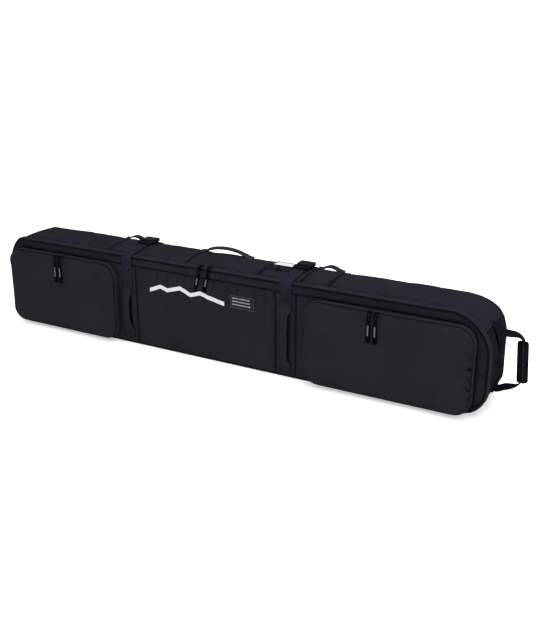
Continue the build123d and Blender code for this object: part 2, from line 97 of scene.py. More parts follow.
def arc3(p0, p1, p2, count=40):
    """Points on the arc through three points of a plane."""
    (ax, ay), (bx, by), (cx, cy) = p0, p1, p2
    d = 2 * (ax * (by - cy) + bx * (cy - ay) + cx * (ay - by))
    a2, b2, c2 = ax * ax + ay * ay, bx * bx + by * by, cx * cx + cy * cy
    ux = (a2 * (by - cy) + b2 * (cy - ay) + c2 * (ay - by)) / d
    uy = (a2 * (cx - bx) + b2 * (ax - cx) + c2 * (bx - ax)) / d
    start = math.atan2(ay - uy, ax - ux)
    turn = (math.atan2(cy - uy, cx - ux) - start + math.pi) % (2 * math.pi) - math.pi
    angles = start + turn * np.linspace(0, 1, count)
    radius = math.hypot(ax - ux, ay - uy)
    return np.stack([ux + radius * np.cos(angles), uy + radius * np.sin(angles)], 1)


def lengths(points):
    """Distance along a line of points, from its start."""
    steps = np.linalg.norm(np.diff(points, axis=0), axis=1)
    return np.concatenate([[0.0], np.cumsum(steps)])


def sample(line, s, at):
    """Values of a line's columns at these lengths, where s is the length at each of its points."""
    return np.stack([np.interp(at, s, column) for column in line.T], -1)


def spline(points, step=0.003):
    """Smooth line through a few points, as evenly spaced points."""
    p = np.array(points, float)
    p = np.concatenate([2 * p[:1] - p[1:2], p, 2 * p[-1:] - p[-2:-1]])
    t = np.linspace(0, 1, 24, endpoint=False)[:, None]
    line = []
    for a, b, c, d in zip(p, p[1:], p[2:], p[3:]):
        line.append(0.5 * (2 * b + (c - a) * t + (2 * a - 5 * b + 4 * c - d) * t**2
                           + (3 * b - a - 3 * c + d) * t**3))
    line = np.concatenate([*line, p[-2:-1]])
    s = lengths(line)
    return sample(line, s, np.linspace(0, s[-1], max(8, int(s[-1] / step))))


class Walk:
    """A closed outline in (X, Z) with four elliptical corners, walked clockwise by length.

    Each point also has its share of sideways and of upward facing, as the ellipse's angle gives it.
    """

    def __init__(self, x0, x1, z0, z1, radii):
        (tlx, tlz), (trx, trz), (brx, brz), (blx, blz) = radii
        corners = (
            (x1 - trx, z1 - trz, trx, trz, 90),
            (x1 - brx, z0 + brz, brx, brz, 0),
            (x0 + blx, z0 + blz, blx, blz, -90),
            (x0 + tlx, z1 - tlz, tlx, tlz, -180),
        )
        legs = []
        for x, z, rx, rz, start in corners:
            a = np.radians(np.linspace(start, start - 90, 91))
            legs.append(np.stack([x + rx * np.cos(a), z + rz * np.sin(a), np.cos(a), np.sin(a)], 1))
        self.line = np.concatenate([legs[3][-1:], *legs])
        self.s = lengths(self.line[:, :2])
        self.total = self.s[-1]
        self.fine = np.arange(0, self.total, 0.0005)
        self.mids = [self.s[1 + 91 * k + 45] for k in range(4)]

    def at(self, s):
        """X, Z, side share and up share at these lengths."""
        return np.moveaxis(sample(self.line, self.s, np.mod(s, self.total)), -1, 0)

    def where(self, x, z):
        """Length at the point of the outline nearest (x, z)."""
        at = self.at(self.fine)
        return self.fine[np.hypot(at[0] - x, at[1] - z).argmin()]

    def leg(self, part):
        """Length at a place counted in quarters: 0 to 1 is the top, then right, foot and left."""
        right, foot, left, top = self.mids
        marks = [left - self.total, top - self.total, right, foot, left, top]
        return np.interp(part, np.arange(-1, 5), marks)

    def sides(self, nx, nz):
        """Lengths of an even loop from the top left corner: nx steps, nz, nx and nz."""
        marks = [self.mids[3] - self.total, *self.mids]
        steps = zip(marks, marks[1:], (nx, nz, nx, nz))
        return np.concatenate([np.linspace(a, b, n, endpoint=False) for a, b, n in steps])

    def loop(self, nx, nz):
        """Points of that loop at depth 0, and their outward directions."""
        x, z, side, up = self.at(self.sides(nx, nz))
        return points_at(x, 0, z), points_at(side, 0, up)


def box_walk(x0, x1, z0, z1, radius):
    """Outline of a rectangle with round corners."""
    return Walk(x0, x1, z0, z1, [(radius, radius)] * 4)


BAG = Walk(-HALF, HALF, 0.0, CROWN, [TOP_LEFT, TOP_RIGHT, FOOT, FOOT])


def depth_at(line, t):
    """Depth y at shares t of a curve's length, from 0 at the rim to 1 at the back."""
    s = lengths(line)
    return np.interp(t, s / s[-1], line[:, 0])


def drop_at(line, y):
    """How far a curve lies inside the outline at depth y."""
    return np.interp(y, line[:, 0], line[:, 1])


def trimmed(drop, slack):
    """What a drop takes off a point that already lies this far inside, rounded off."""
    drop, slack = np.maximum(drop, 0), np.maximum(slack, 0)
    return (drop**5 + slack**5) ** 0.2 - slack


def quarter(radius):
    """Rounding between a side of the bag and its back, as (Y, drop)."""
    a = np.radians(np.linspace(0, 90, 24))
    return np.stack([BACK_Y - radius + radius * np.sin(a), radius - radius * np.cos(a)], 1)


CREST = np.concatenate([
    [(RIM_Y, EDGE)],
    arc3((SHOULDER_Y, EDGE), (0.005, CROWN), (0.060, 0.300)),
    arc3((0.060, 0.300), (0.104, 0.278), (BACK_Y, BACK_TOP)),
])
TOP_DEPTH = np.stack([CREST[:, 0], CROWN - CREST[:, 1]], 1)
END_DEPTH = np.concatenate([[(RIM_Y, 0.0)], quarter(PLAN_R)])
FOOT_DEPTH = np.concatenate([[(RIM_Y, 0.0)], quarter(FOOT_R)])


def skin(s, t, sink=0.0):
    """Points of the tub's outer surface at lengths s round the outline and depth shares t."""
    x, z, side, up = (column[:, None] for column in BAG.at(s))
    t = np.asarray(t)[None, :]
    level = np.where(up > 0, depth_at(TOP_DEPTH, t), depth_at(FOOT_DEPTH, t))
    y = level * (1 - side**2) + depth_at(END_DEPTH, t) * side**2
    lowered = trimmed(drop_at(TOP_DEPTH, y), CROWN - z) * np.clip(up * 4, 0, 1)
    raised = trimmed(drop_at(FOOT_DEPTH, y), z) * np.clip(-up * 4, 0, 1)
    inwards = trimmed(drop_at(END_DEPTH, y), HALF - np.abs(x)) * np.sign(x)
    points = points_at(x - inwards, y, z - lowered + raised)
    outward = unit(np.cross(np.gradient(points, axis=0), np.gradient(points, axis=1)))
    return points - sink * outward


def rim(s, y, lift=0.0):
    """Points on the edge of the lid and of the tub at depth y."""
    x, z, side, up = BAG.at(s)
    lowered = trimmed(CROWN - EDGE, CROWN - z) * np.clip(up * 4, 0, 1)
    return points_at(x + side * lift, y, z - lowered + up * lift)


def waves(points, wavelength, seed, count=7):
    """Soft seeded unevenness between about -1 and 1 at these points."""
    rng = np.random.default_rng(seed)
    total = np.zeros(len(points))
    for _ in range(count):
        direction = rng.normal(size=3)
        direction /= np.linalg.norm(direction)
        pitch = wavelength * rng.uniform(0.6, 1.5)
        total += np.sin(points @ direction * (2 * math.pi / pitch) + rng.uniform(0, 2 * math.pi))
    return total / math.sqrt(count)


# ---- Materials ---------------------------------------------------------------------------
class Shading:
    """A Principled material, with the nodes that feed its shader."""

    def __init__(self, name, color, roughness, **settings):
        self.material = bpy.data.materials.new(name)
        self.material.use_nodes = True
        self.nodes, self.links = self.material.node_tree.nodes, self.material.node_tree.links
        self.inputs = self.nodes["Principled BSDF"].inputs
        self.inputs["Base Color"].default_value = (*color, 1)
        self.inputs["Roughness"].default_value = roughness
        for key, value in settings.items():
            self.inputs[key.replace("_", " ")].default_value = value

    def math(self, operation, *values):
        """Result of one Math node; its inputs are sockets or numbers."""
        node = self.nodes.new("ShaderNodeMath")
        node.operation = operation
        for socket, value in zip(node.inputs, values):
            if isinstance(value, (int, float)):
                socket.default_value = value
            else:
                self.links.new(value, socket)
        return node.outputs[0]

    def total(self, *terms):
        """Sum of sockets, each times its weight."""
        result = 0.0
        for socket, weight in terms:
            result = self.math("MULTIPLY_ADD", socket, weight, result)
        return result

    def position(self):
        """The object's own coordinates, in metres."""
        return self.nodes.new("ShaderNodeTexCoord").outputs["Object"]

    def cloth(self):
        """The cloth's own coordinates in metres, whole and as the two thread directions."""
        uv = self.nodes.new("ShaderNodeUVMap")
        uv.uv_map = "cloth"
        split = self.nodes.new("ShaderNodeSeparateXYZ")
        self.links.new(uv.outputs["UV"], split.inputs[0])
        return uv.outputs["UV"], split.outputs["X"], split.outputs["Y"]

    def noise(self, coordinate, scale, detail):
        """Noise value over a coordinate given in metres."""
        node = self.nodes.new("ShaderNodeTexNoise")
        node.inputs["Scale"].default_value = scale
        node.inputs["Detail"].default_value = detail
        self.links.new(coordinate, node.inputs["Vector"])
        return node.outputs["Fac"]

    def thread(self, coordinate, pitch, shift=0.0):
        """Sine along one thread direction, shifted by another socket if given."""
        return self.math("SINE", self.math("MULTIPLY_ADD", coordinate, 2 * math.pi / pitch, shift))

    def tint(self, factor, dark, light, painted_seam_shade=False):
        """Base colour between two colours by a factor, and painted shade, almost black, down in the seams and
        creases.
        """
        ramp = self.nodes.new("ShaderNodeValToRGB")
        low, high = ramp.color_ramp.elements
        low.position, low.color = 0.25, (*dark, 1)
        high.position, high.color = 0.75, (*light, 1)
        self.links.new(factor, ramp.inputs["Fac"])
        color = ramp.outputs["Color"]
        if painted_seam_shade:
            # Painted shade: the seam attribute darkens the colour towards black in sewn grooves and fold
            # hollows, where shade falls.
            seam = self.nodes.new("ShaderNodeAttribute")
            seam.attribute_name = "seam"
            mix = self.nodes.new("ShaderNodeMix")
            mix.data_type = "RGBA"
            self.links.new(seam.outputs["Fac"], mix.inputs[0])
            self.links.new(color, mix.inputs[6])
            mix.inputs[7].default_value = (0.0012, 0.0012, 0.0016, 1)
            color = mix.outputs[2]
        self.links.new(color, self.inputs["Base Color"])

    def bump(self, height, distance):
        """Bump from a height between 0 and 1, scaled to a distance in metres."""
        node = self.nodes.new("ShaderNodeBump")
        node.inputs["Strength"].default_value = 1.0
        node.inputs["Distance"].default_value = distance
        self.links.new(height, node.inputs["Height"])
        self.links.new(node.outputs["Normal"], self.inputs["Normal"])

    def vary_roughness(self, factor, low, high):
        """Roughness between two values by a factor."""
        self.links.new(self.math("MULTIPLY_ADD", factor, high - low, low), self.inputs["Roughness"])


def woven(name, dark, light, pitch=0.0009, roughness=0.85):
    """Plain-woven polyester: crossing threads, soft tone changes at random, a light sheen and painted shade
    in the seams.
    """
    made = Shading(name, light, roughness, Sheen_Weight=0.004, Sheen_Roughness=0.45,
                   Sheen_Tint=(0.75, 0.8, 1.0, 1), Specular_IOR_Level=0.0)
    uv, u, v = made.cloth()
    weave = made.math("MULTIPLY", made.thread(u, pitch), made.thread(v, pitch))
    weave = made.math("MULTIPLY_ADD", weave, 0.5, 0.5)
    patches = made.noise(made.position(), 9.0, 4.0)
    slubs = made.noise(uv, 900.0, 2.0)
    made.tint(made.total((patches, 0.6), (weave, 0.25), (slubs, 0.2)), dark, light, painted_seam_shade=True)
    made.vary_roughness(patches, roughness - 0.08, roughness + 0.08)
    made.bump(made.total((weave, 1.0), (slubs, 0.6)), 0.00016)
    return made.material


def webbing(name, dark, light, pitch=0.0016, roughness=0.6):
    """Ribbed strap webbing: ribs along the strap, each with slanting picks."""
    made = Shading(name, light, roughness, Sheen_Weight=0.004, Specular_IOR_Level=0.0,
                   Sheen_Tint=(0.7, 0.8, 1.0, 1))
    uv, u, v = made.cloth()
    rib = made.math("ABSOLUTE", made.thread(v, 2 * pitch))
    pick = made.thread(u, pitch * 0.8, made.math("MULTIPLY", rib, 2.4))
    height = made.total((rib, 1.0), (pick, 0.35))
    wear = made.noise(uv, 60.0, 4.0)
    made.tint(made.total((height, 0.35), (wear, 0.6)), dark, light)
    made.vary_roughness(wear, roughness - 0.1, roughness + 0.1)
    made.bump(height, 0.00035)
    return made.material


def moulded(name, dark, light, roughness, specular=0.3, grain=2500.0, depth=0.00003, **settings):
    """Moulded plastic, rubber or coated metal with a fine grain and handling marks."""
    made = Shading(name, light, roughness, Specular_IOR_Level=specular, **settings)
    position = made.position()
    marks = made.noise(position, 120.0, 5.0)
    made.tint(marks, dark, light)
    made.vary_roughness(marks, roughness - 0.06, roughness + 0.1)
    made.bump(made.noise(position, grain, 2.0), depth)
    return made.material


FABRIC = woven("shell_cloth", (0.0092, 0.0093, 0.0130), (0.0156, 0.0158, 0.0212))
# A darker copy of the shell cloth for the right end panel: painted shade on that end.
SHADED_END_CLOTH = woven("end_cloth", (0.0058, 0.0058, 0.0088), (0.0105, 0.0105, 0.0150))
LID_CLOTH = woven("lid_cloth", (0.0102, 0.0101, 0.0130), (0.0164, 0.0162, 0.0202))
LINING = woven("lining_cloth", (0.020, 0.021, 0.024), (0.036, 0.037, 0.042), pitch=0.0006, roughness=0.6)
WEBBING = webbing("strap_webbing", (0.0085, 0.0108, 0.0175), (0.0155, 0.0190, 0.0285))
TOW_WEBBING = webbing("tow_strap_webbing", (0.0040, 0.0046, 0.0085), (0.0085, 0.0095, 0.0160))
DULL_WEBBING = webbing("handle_webbing", (0.0110, 0.0112, 0.0155), (0.0190, 0.0194, 0.0260), roughness=0.75)
GRAB_WEBBING = webbing("grab_webbing", (0.0170, 0.0170, 0.0225), (0.0290, 0.0290, 0.0370), roughness=0.75)
TAPE = webbing("zip_tape_knit", (0.0160, 0.0172, 0.0240), (0.0262, 0.0282, 0.0375), pitch=0.0007)
COIL = moulded("zip_coil", (0.002, 0.002, 0.003), (0.005, 0.005, 0.007), 0.5, 0.02)
BUCKLE = moulded("buckle_nylon", (0.003, 0.003, 0.004), (0.007, 0.007, 0.010), 0.5, 0.01)
SLIDER = moulded("slider_black", (0.002, 0.002, 0.003), (0.005, 0.005, 0.007), 0.5, 0.0)
PULL = moulded("pull_rubber", (0.0008, 0.0008, 0.0012), (0.0020, 0.0020, 0.0030), 0.6, 0.01)
# Grey for the strip down each pull's grip, a painted highlight, and for the real border round the label.
PULL_HIGHLIGHT_AND_LABEL_BORDER = moulded("pull_insert", (0.050, 0.048, 0.066), (0.085, 0.082, 0.108), 0.35, 0.2)
HOUSING = moulded("housing_plastic", (0.010, 0.010, 0.011), (0.024, 0.024, 0.026), 0.5, 0.3, 700.0, 0.00012)
HUB = moulded("hub_plastic", (0.05, 0.05, 0.055), (0.09, 0.09, 0.10), 0.4)
TYRE = moulded("tyre_urethane", (0.012, 0.012, 0.013), (0.028, 0.028, 0.030), 0.6, 0.3, 900.0, 0.0001)
STEEL = moulded("turned_steel", (0.35, 0.35, 0.36), (0.55, 0.55, 0.57), 0.28, Metallic=1.0)
THREAD = moulded("thread", (0.003, 0.003, 0.004), (0.008, 0.008, 0.011), 0.8, 0.0)
CARD = moulded("identity_card", (0.40, 0.42, 0.46), (0.50, 0.52, 0.56), 0.5)
PRINT = moulded("grey_print", (0.42, 0.43, 0.45), (0.56, 0.57, 0.59), 0.55, 0.3, 1500.0, 0.00006)
LABEL_PRINT = moulded("label_print", (0.20, 0.20, 0.22), (0.28, 0.28, 0.30), 0.6)
PATCH = moulded("label_rubber", (0.008, 0.008, 0.010), (0.016, 0.016, 0.018), 0.7, 0.05)
FOAM = woven("grip_cloth", (0.0024, 0.0024, 0.0034), (0.0058, 0.0058, 0.0078), pitch=0.0007)
SLEEVE = woven("sleeve_cloth", (0.012, 0.012, 0.014), (0.022, 0.022, 0.026))


# ---- Mesh pieces -------------------------------------------------------------------------
def piece(name, verts, faces, materials, body=None, uv=None, face_material=None, smooth=True):
    """A mesh object with its material, slot and body."""
    mesh = bpy.data.meshes.new(name)
    mesh.from_pydata(np.asarray(verts, float).tolist(), [], [[int(i) for i in f] for f in faces])
    shell = bmesh.new()
    shell.from_mesh(mesh)
    bmesh.ops.recalc_face_normals(shell, faces=shell.faces)
    shell.to_mesh(mesh)
    shell.free()
    if smooth:
        mesh.shade_smooth()
    materials = materials if isinstance(materials, list) else [materials]
    for material in materials:
        mesh.materials.append(material)
    if face_material is not None:
        mesh.polygons.foreach_set("material_index", np.asarray(face_material, np.int32))
    layer = mesh.uv_layers.new(name="cloth")
    if uv is not None:
        corners = np.zeros(len(mesh.loops), np.int32)
        mesh.loops.foreach_get("vertex_index", corners)
        layer.data.foreach_set("uv", np.asarray(uv, np.float32)[corners].ravel())
    obj = bpy.data.objects.new(name, mesh)
    bpy.context.scene.collection.objects.link(obj)
    if body:
        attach(obj, body)
    return obj


def grid_faces(index):
    """Quads over a grid of point numbers."""
    corners = (index[:-1, :-1], index[1:, :-1], index[1:, 1:], index[:-1, 1:])
    return np.stack([c.ravel() for c in corners], 1)


def ring_faces(rings, around, closed=False):
    """Quads between rings of points; the last ring joins the first, or both get a cap."""
    index = np.arange(rings * around).reshape(rings, around)
    wrapped = np.concatenate([index, index[:, :1]], 1)
    if closed:
        wrapped = np.concatenate([wrapped, wrapped[:1]])
    quads = grid_faces(wrapped)[:, (0, 3, 2, 1)].tolist()
    return quads if closed else quads + [index[0, ::-1].tolist(), index[-1].tolist()]


def rounded(count, wide_power, high_power):
    """Outline of a rounded bar, as its width and height shares between -1 and 1."""
    a = 2 * math.pi * (np.arange(count) + 0.5) / count
    wide, high = np.cos(a), np.sin(a)
    return np.sign(wide) * np.abs(wide) ** wide_power, np.sign(high) * np.abs(high) ** high_power


def circle(out, y, out_radius, y_radius, step):
    """Closed round section, as (outward, y)."""
    angles = np.radians(np.arange(0, 360, step))
    return [(out + out_radius * math.cos(a), y + y_radius * math.sin(a)) for a in angles]


def quad_normals(verts, faces):
    """Vertex normals of a mesh of quads."""
    quads = verts[faces]
    flat = np.cross(quads[:, 2] - quads[:, 0], quads[:, 3] - quads[:, 1])
    total = np.zeros_like(verts)
    for k in range(4):
        np.add.at(total, faces[:, k], flat)
    return unit(total)


def refined(length):
    """Positions from 0 to length, closer together beside both sewn edges."""
    low, high = np.array(EDGE_STEPS), length - np.array(EDGE_STEPS)[::-1]
    inner = np.linspace(low[-1], high[0], max(2, round((high[0] - low[-1]) / CELL) + 1))
    return np.concatenate([low, inner[1:-1], high])


class Sheet:
    """An open piece of cloth: its points, quads, edge loop, edge distances and thread coordinates."""

    def __init__(self, verts, faces, loop, edge, uv):
        self.verts, self.faces, self.loop = verts, faces, [int(i) for i in loop]
        self.edge, self.uv = edge, uv
        self.free = self.edge > EDGE_STEPS[1]
        # Painted shade in fold hollows, joined to the seam shade when the piece is closed.
        self.painted_crease_shade = np.zeros(len(verts))

    def hold(self, near):
        """Fasten the points where near is true."""
        self.free &= ~near
        return self

    def calm(self, reach):
        """Share that rises from 0 at the sewn edge to 1 at this distance from it."""
        return np.clip(self.edge / reach, 0, 1)

    def push(self, amount):
        """Move every point outwards by its amount."""
        self.verts = self.verts + quad_normals(self.verts, self.faces) * np.reshape(amount, (-1, 1))
        return self

    def roll(self, depth, width):
        """Turn the sewn edges in."""
        share = np.clip(1 - self.edge / width, 0, 0.999)
        return self.push(-depth * (1 - np.sqrt(1 - share**2)))

    def close(self, name, inner, outer_material, inner_material, body=None):
        """Closed padded piece between this sheet and its inner points, with painted shade along its seams and
        in its creases.
        """
        n = len(self.verts)
        ring = zip(self.loop, self.loop[1:] + self.loop[:1])
        faces = [*self.faces, *(n + self.faces[:, ::-1]), *((b, a, n + a, n + b) for a, b in ring)]
        kinds = [0] * len(faces)
        kinds[len(self.faces): 2 * len(self.faces)] = [1] * len(self.faces)
        uv = np.concatenate([self.uv, self.uv + (0, 0.0003)])
        verts = np.concatenate([self.verts, inner])
        obj = piece(name, verts, faces, [outer_material, inner_material], body, uv, kinds)
        # Painted shade for the seam attribute: near the sewn edges, and in the creases.
        dark = np.maximum(np.exp(-((self.edge / SEAM_SHADE) ** 2)), self.painted_crease_shade)
        seam = obj.data.attributes.new("seam", "FLOAT", "POINT")
        seam.data.foreach_set("value", np.concatenate([dark, np.zeros(n)]).astype(np.float32))
        modifier = obj.modifiers.new("smooth", "SUBSURF")
        modifier.levels = modifier.render_levels = 1
        return obj


def grid_sheet(points, u, v):
    """Sheet over a grid of points; u and v are distances along and across it."""
    n, m = len(u), len(v)
    index = np.arange(n * m).reshape(n, m)
    loop = [*index[:, 0], *index[-1, 1:], *index[-2::-1, -1], *index[0, -2:0:-1]]
    edge = np.minimum(np.minimum(u, u[-1] - u)[:, None], np.minimum(v, v[-1] - v)[None, :])
    uv = np.stack(np.meshgrid(u, v, indexing="ij"), 2).reshape(-1, 2)
    sheet = Sheet(points.reshape(-1, 3), grid_faces(index), loop, edge.ravel(), uv)
    sheet.shape = (n, m)
    return sheet


def four_sides(loop, nx, nz):
    """Top, right, foot and left of a clockwise loop, each from the left or from the top."""
    loop = np.concatenate([loop, loop[:1]])
    right, foot, left = nx, nx + nz, 2 * nx + nz
    return loop[:right + 1], loop[right:foot + 1], loop[foot:left + 1][::-1], loop[left:][::-1]


def coons(loop, nx, nz):
    """Grid that fills a loop of 2 * (nx + nz) points given clockwise from its top left."""
    top, right, foot, left = four_sides(loop, nx, nz)
    u = np.linspace(0, 1, nx + 1)[:, None, None]
    v = np.linspace(0, 1, nz + 1)[None, :, None]
    across = (1 - v) * top[:, None] + v * foot[:, None]
    down = (1 - u) * left[None] + u * right[None]
    flat = (1 - u) * (1 - v) * top[0] + u * (1 - v) * top[-1] + (1 - u) * v * foot[0] + u * v * foot[-1]
    return across + down - flat


def disc_sheet(rings, edge, nx, nz, flip=False):
    """Sheet of closed rings from its edge inwards, and a patch inside the last one."""
    n, count = 2 * (nx + nz), len(rings)
    patch = coons(rings[-1], nx, nz)[1:nx, 1:nz].reshape(-1, 3)
    index = np.zeros((nx + 1, nz + 1), int)
    sides = four_sides(n * (count - 1) + np.arange(n), nx, nz)
    index[:, 0], index[nx, :], index[:, nz], index[0, :] = sides
    index[1:nx, 1:nz] = n * count + np.arange(len(patch)).reshape(nx - 1, nz - 1)
    faces = np.concatenate([ring_faces(count, n)[:-2], grid_faces(index)])
    inner = edge[-1] + np.array([np.linalg.norm(rings[-1] - p, axis=1).min() for p in patch])
    distance = np.concatenate([np.repeat(edge, n), inner])
    verts = np.concatenate([*rings, patch])
    loop = np.arange(n)
    if not flip:
        faces, loop = faces[:, ::-1], loop[::-1]
    return Sheet(verts, faces, loop, distance, verts[:, [0, 2]])


def ribbon(name, path, across, width, thick, material, body, square, seed=0, wave=0.0):
    """Webbing or a welt: a rounded strip along a path, with its width along across.

    A smaller square makes its sides squarer, and wave is the height of its seeded unevenness.
    """
    path = np.asarray(path, float)
    n, around = len(path), 18
    tangent = unit(np.gradient(path, axis=0))
    normal = unit(np.cross(tangent, across))
    across = np.cross(normal, tangent)
    path = path + normal * (wave * waves(path, 0.06, seed))[:, None]
    wide, high = rounded(around, square, 0.7)
    wide = np.broadcast_to(width, (n,))[:, None] / 2 * wide
    high = np.broadcast_to(thick, (n,))[:, None] / 2 * high
    verts = path[:, None] + across[:, None] * wide[..., None] + normal[:, None] * high[..., None]
    uv = np.stack([np.repeat(lengths(path), around), wide.ravel()], 1)
    return piece(name, verts.reshape(-1, 3), ring_faces(n, around), material, body, uv)


def sweep_ring(name, loop, outward, section, material, body):
    """Closed moulding round a loop; section is closed, as (out, y) pairs."""
    section = np.array(section)
    n, m = len(loop), len(section)
    verts = loop[:, None] + outward[:, None] * section[:, :1]
    verts[..., 1] = section[:, 1]
    uv = np.stack([np.repeat(lengths(loop), m), np.tile(lengths(section), n)], 1)
    return piece(name, verts.reshape(-1, 3), ring_faces(n, m, closed=True), material, body, uv)


def tube(name, line, radius, material, body, around=10):
    """Round cord along a line of points, with closed ends."""
    tangent = unit(np.gradient(line, axis=0))
    side = unit(np.cross(tangent, (0.03, 1.0, 0.05)))
    up = np.cross(tangent, side)
    a = 2 * math.pi * np.arange(around) / around
    round_ = side[:, None] * np.cos(a)[:, None] + up[:, None] * np.sin(a)[:, None]
    verts = line[:, None] + round_ * radius[:, None, None]
    return piece(name, verts.reshape(-1, 3), ring_faces(len(line), around), material, body)


STITCHES = {"shell": [], "lid": []}
# One stitch: shares of its length along the seam, and of its radius beside and above it.
STITCH = [(-0.5, 0, 0), (-0.3, 1, 0.2), (-0.3, 0, 1.2), (-0.3, -1, 0.2), (0.3, 1, 0.2), (0.3, 0, 1.2),
          (0.3, -1, 0.2), (0.5, 0, 0), (0, 0, -0.4)]
STITCH_FACES = [(0, 1, 2), (0, 2, 3), (1, 4, 5, 2), (2, 5, 6, 3), (7, 5, 4), (7, 6, 5),
                (0, 8, 1), (0, 3, 8), (7, 4, 8), (7, 8, 6), (1, 8, 4), (3, 6, 8)]
STITCH_RADIUS = 0.00042


def stitch(body, line, normal, pitch=0.0042, length=0.0030):
    """A row of stitches along a line, gathered with the others of its body."""
    s = lengths(line)
    at = np.arange(pitch / 2, s[-1], pitch)
    points = sample(line, s, at)
    up = unit(sample(np.broadcast_to(normal, line.shape), s, at))
    along = unit(sample(line, s, at + 0.0005) - points)
    side = np.cross(along, up)
    STITCHES[body].append(np.stack([
        points + along * (a * length) + side * (b * STITCH_RADIUS) + up * (c * STITCH_RADIUS)
        for a, b, c in STITCH
    ], 1))


def topstitch(body, sheet, sides, row=4):
    """Stitches beside the sewn sides of a grid sheet: start, end, low or high."""
    n, m = sheet.shape
    verts = sheet.verts.reshape(n, m, 3)
    normals = quad_normals(sheet.verts, sheet.faces).reshape(n, m, 3)
    inside = slice(2, -2)
    lines = {"start": (row, inside), "end": (n - 1 - row, inside),
             "low": (inside, row), "high": (inside, m - 1 - row)}
    for side in sides:
        stitch(body, verts[lines[side]] + normals[lines[side]] * 0.0001, normals[lines[side]])


def sew(body, name):
    """Turn the gathered stitches of a body into one piece."""
    verts = np.concatenate(STITCHES[body])
    starts = range(0, verts.shape[0] * len(STITCH), len(STITCH))
    faces = [tuple(start + k for k in face) for start in starts for face in STITCH_FACES]
    return piece(name, verts.reshape(-1, 3), faces, THREAD, body)


# ---- Cloth simulation --------------------------------------------------------------------
def relax(sheets, frames=20):
    """Let all the sheets swell between their held edges in one run, each within its cap."""
    scene = bpy.context.scene
    running = []
    for number, (sheet, pressure, slack, cap) in enumerate(sheets):
        mesh = bpy.data.meshes.new(f"swell_{number}")
        mesh.from_pydata(sheet.verts.tolist(), [], sheet.faces.tolist())
        obj = bpy.data.objects.new(mesh.name, mesh)
        scene.collection.objects.link(obj)
        group = obj.vertex_groups.new(name="held")
        group.add(np.flatnonzero(~sheet.free).tolist(), 1.0, "REPLACE")
        modifier = obj.modifiers.new("swell", "CLOTH")
        settings = modifier.settings
        settings.quality = 5
        settings.mass = 0.2
        settings.tension_stiffness = settings.compression_stiffness = 12
        settings.shear_stiffness = 4
        settings.bending_stiffness = 0.3
        settings.vertex_group_mass = "held"
        settings.use_pressure = True
        settings.uniform_pressure_force = pressure
        settings.shrink_min = -slack
        settings.effector_weights.gravity = 0
        modifier.point_cache.frame_end = frames
        running.append((obj, sheet, cap))
    for number in range(1, frames + 1):
        scene.frame_set(number)
    graph = bpy.context.evaluated_depsgraph_get()
    for obj, sheet, cap in running:
        moved = np.zeros(len(sheet.verts) * 3)
        obj.evaluated_get(graph).data.vertices.foreach_get("co", moved)
        step = moved.reshape(-1, 3) - sheet.verts
        size = np.linalg.norm(step, axis=1, keepdims=True)
        sheet.verts = sheet.verts + step * (cap * np.tanh(size / cap) / np.maximum(size, 1e-9))
        mesh = obj.data
        bpy.data.objects.remove(obj)
        bpy.data.meshes.remove(mesh)
    scene.frame_set(1)


# ---- Tub: padded panels behind the main zip ----------------------------------------------
HOUSING_CUT = ((-0.95, 0.064, 0.024), (-0.748, 0.2, 0.246))
TOP_AT = [BAG.where(x, CROWN) for x in TOP_SEAMS]
CORNER_AT = next(s for s in np.arange(BAG.mids[0] - 0.2, BAG.mids[0] + 0.3, 0.0005)
                 if BAG.at(s)[1] < CORNER_SEAM_Z)
FOOT_RIGHT_AT, FOOT_LEFT_AT = BAG.where(FOOT_SEAM_X, 0.0), BAG.where(TOP_SEAMS[0], 0.0)


def depth_length(s):
    """Length of the cross-section curve at one place of the outline."""
    return lengths(skin(np.array([s, s + 0.001]), np.linspace(0, 1, 60))[0])[-1]


def near_straps(verts, reach=0.026):
    """True where a compression strap presses the cloth down."""
    return np.any([np.abs(verts[:, 0] - at) < reach for at in STRAPS.values()], axis=0)


class TubPanel:
    """One sewn length of the band round the tub."""

    def __init__(self, name, node, s0, s1, plain_start=False, plain_end=False):
        self.name, self.node = name, node
        u = refined(s1 - s0)
        whole = depth_length((s0 + s1) / 2)
        start = (SHOULDER_Y + 0.0014 - RIM_Y) / whole
        v = refined(whole * (1 - start))
        t = start + (1 - start) * v / v[-1]
        self.sheet = grid_sheet(skin(s0 + u, t, SINK), u, v)
        self.lining = skin(s0 + u, t, WALL).reshape(-1, 3)
        from_start, from_end = u + plain_start, u[-1] - u + plain_end  # a plain end counts as far
        from_sides = np.minimum(v, v[-1] - v)[None, :]
        self.seams = np.minimum(np.minimum(from_start, from_end)[:, None], from_sides).ravel()

    def pull_folds(self, seed):
        """Slanting folds between the zip and the tow handle, where the cloth is dragged, with painted shade
        in their hollows.
        """
        sheet = self.sheet
        along, across = sheet.uv.T
        phase = 2 * math.pi * (along - 0.7 * across) / 0.062 + 1.8 * waves(sheet.verts, 0.12, seed)
        fold = sheet.calm(0.03) * np.clip(1 - across / 0.11, 0, 1) * (0.5 + 0.5 * np.sin(phase)) ** 4
        sheet.push(-0.0030 * fold)
        sheet.painted_crease_shade = 0.45 * fold

    def finish(self, seed):
        """Soft unevenness, seams and lining, as one closed piece."""
        sheet, cloth = self.sheet, FABRIC
        sheet.push(0.0009 * sheet.calm(0.03) * waves(sheet.verts, 0.16, seed))
        sheet.push(0.0004 * sheet.calm(0.03) * waves(sheet.verts, 0.05, seed + 1))
        # Painted shade: the right end panel takes the darker copy of the shell cloth.
        if self.name == "right_end_cloth":
            cloth = SHADED_END_CLOTH
            self.pull_folds(seed + 2)
        sheet.edge = self.seams
        sheet.roll(0.0030, 0.0042)
        sheet.verts[:, 2] = np.maximum(sheet.verts[:, 2], 0.0002)
        return sheet.close(self.name, self.lining, cloth, LINING)


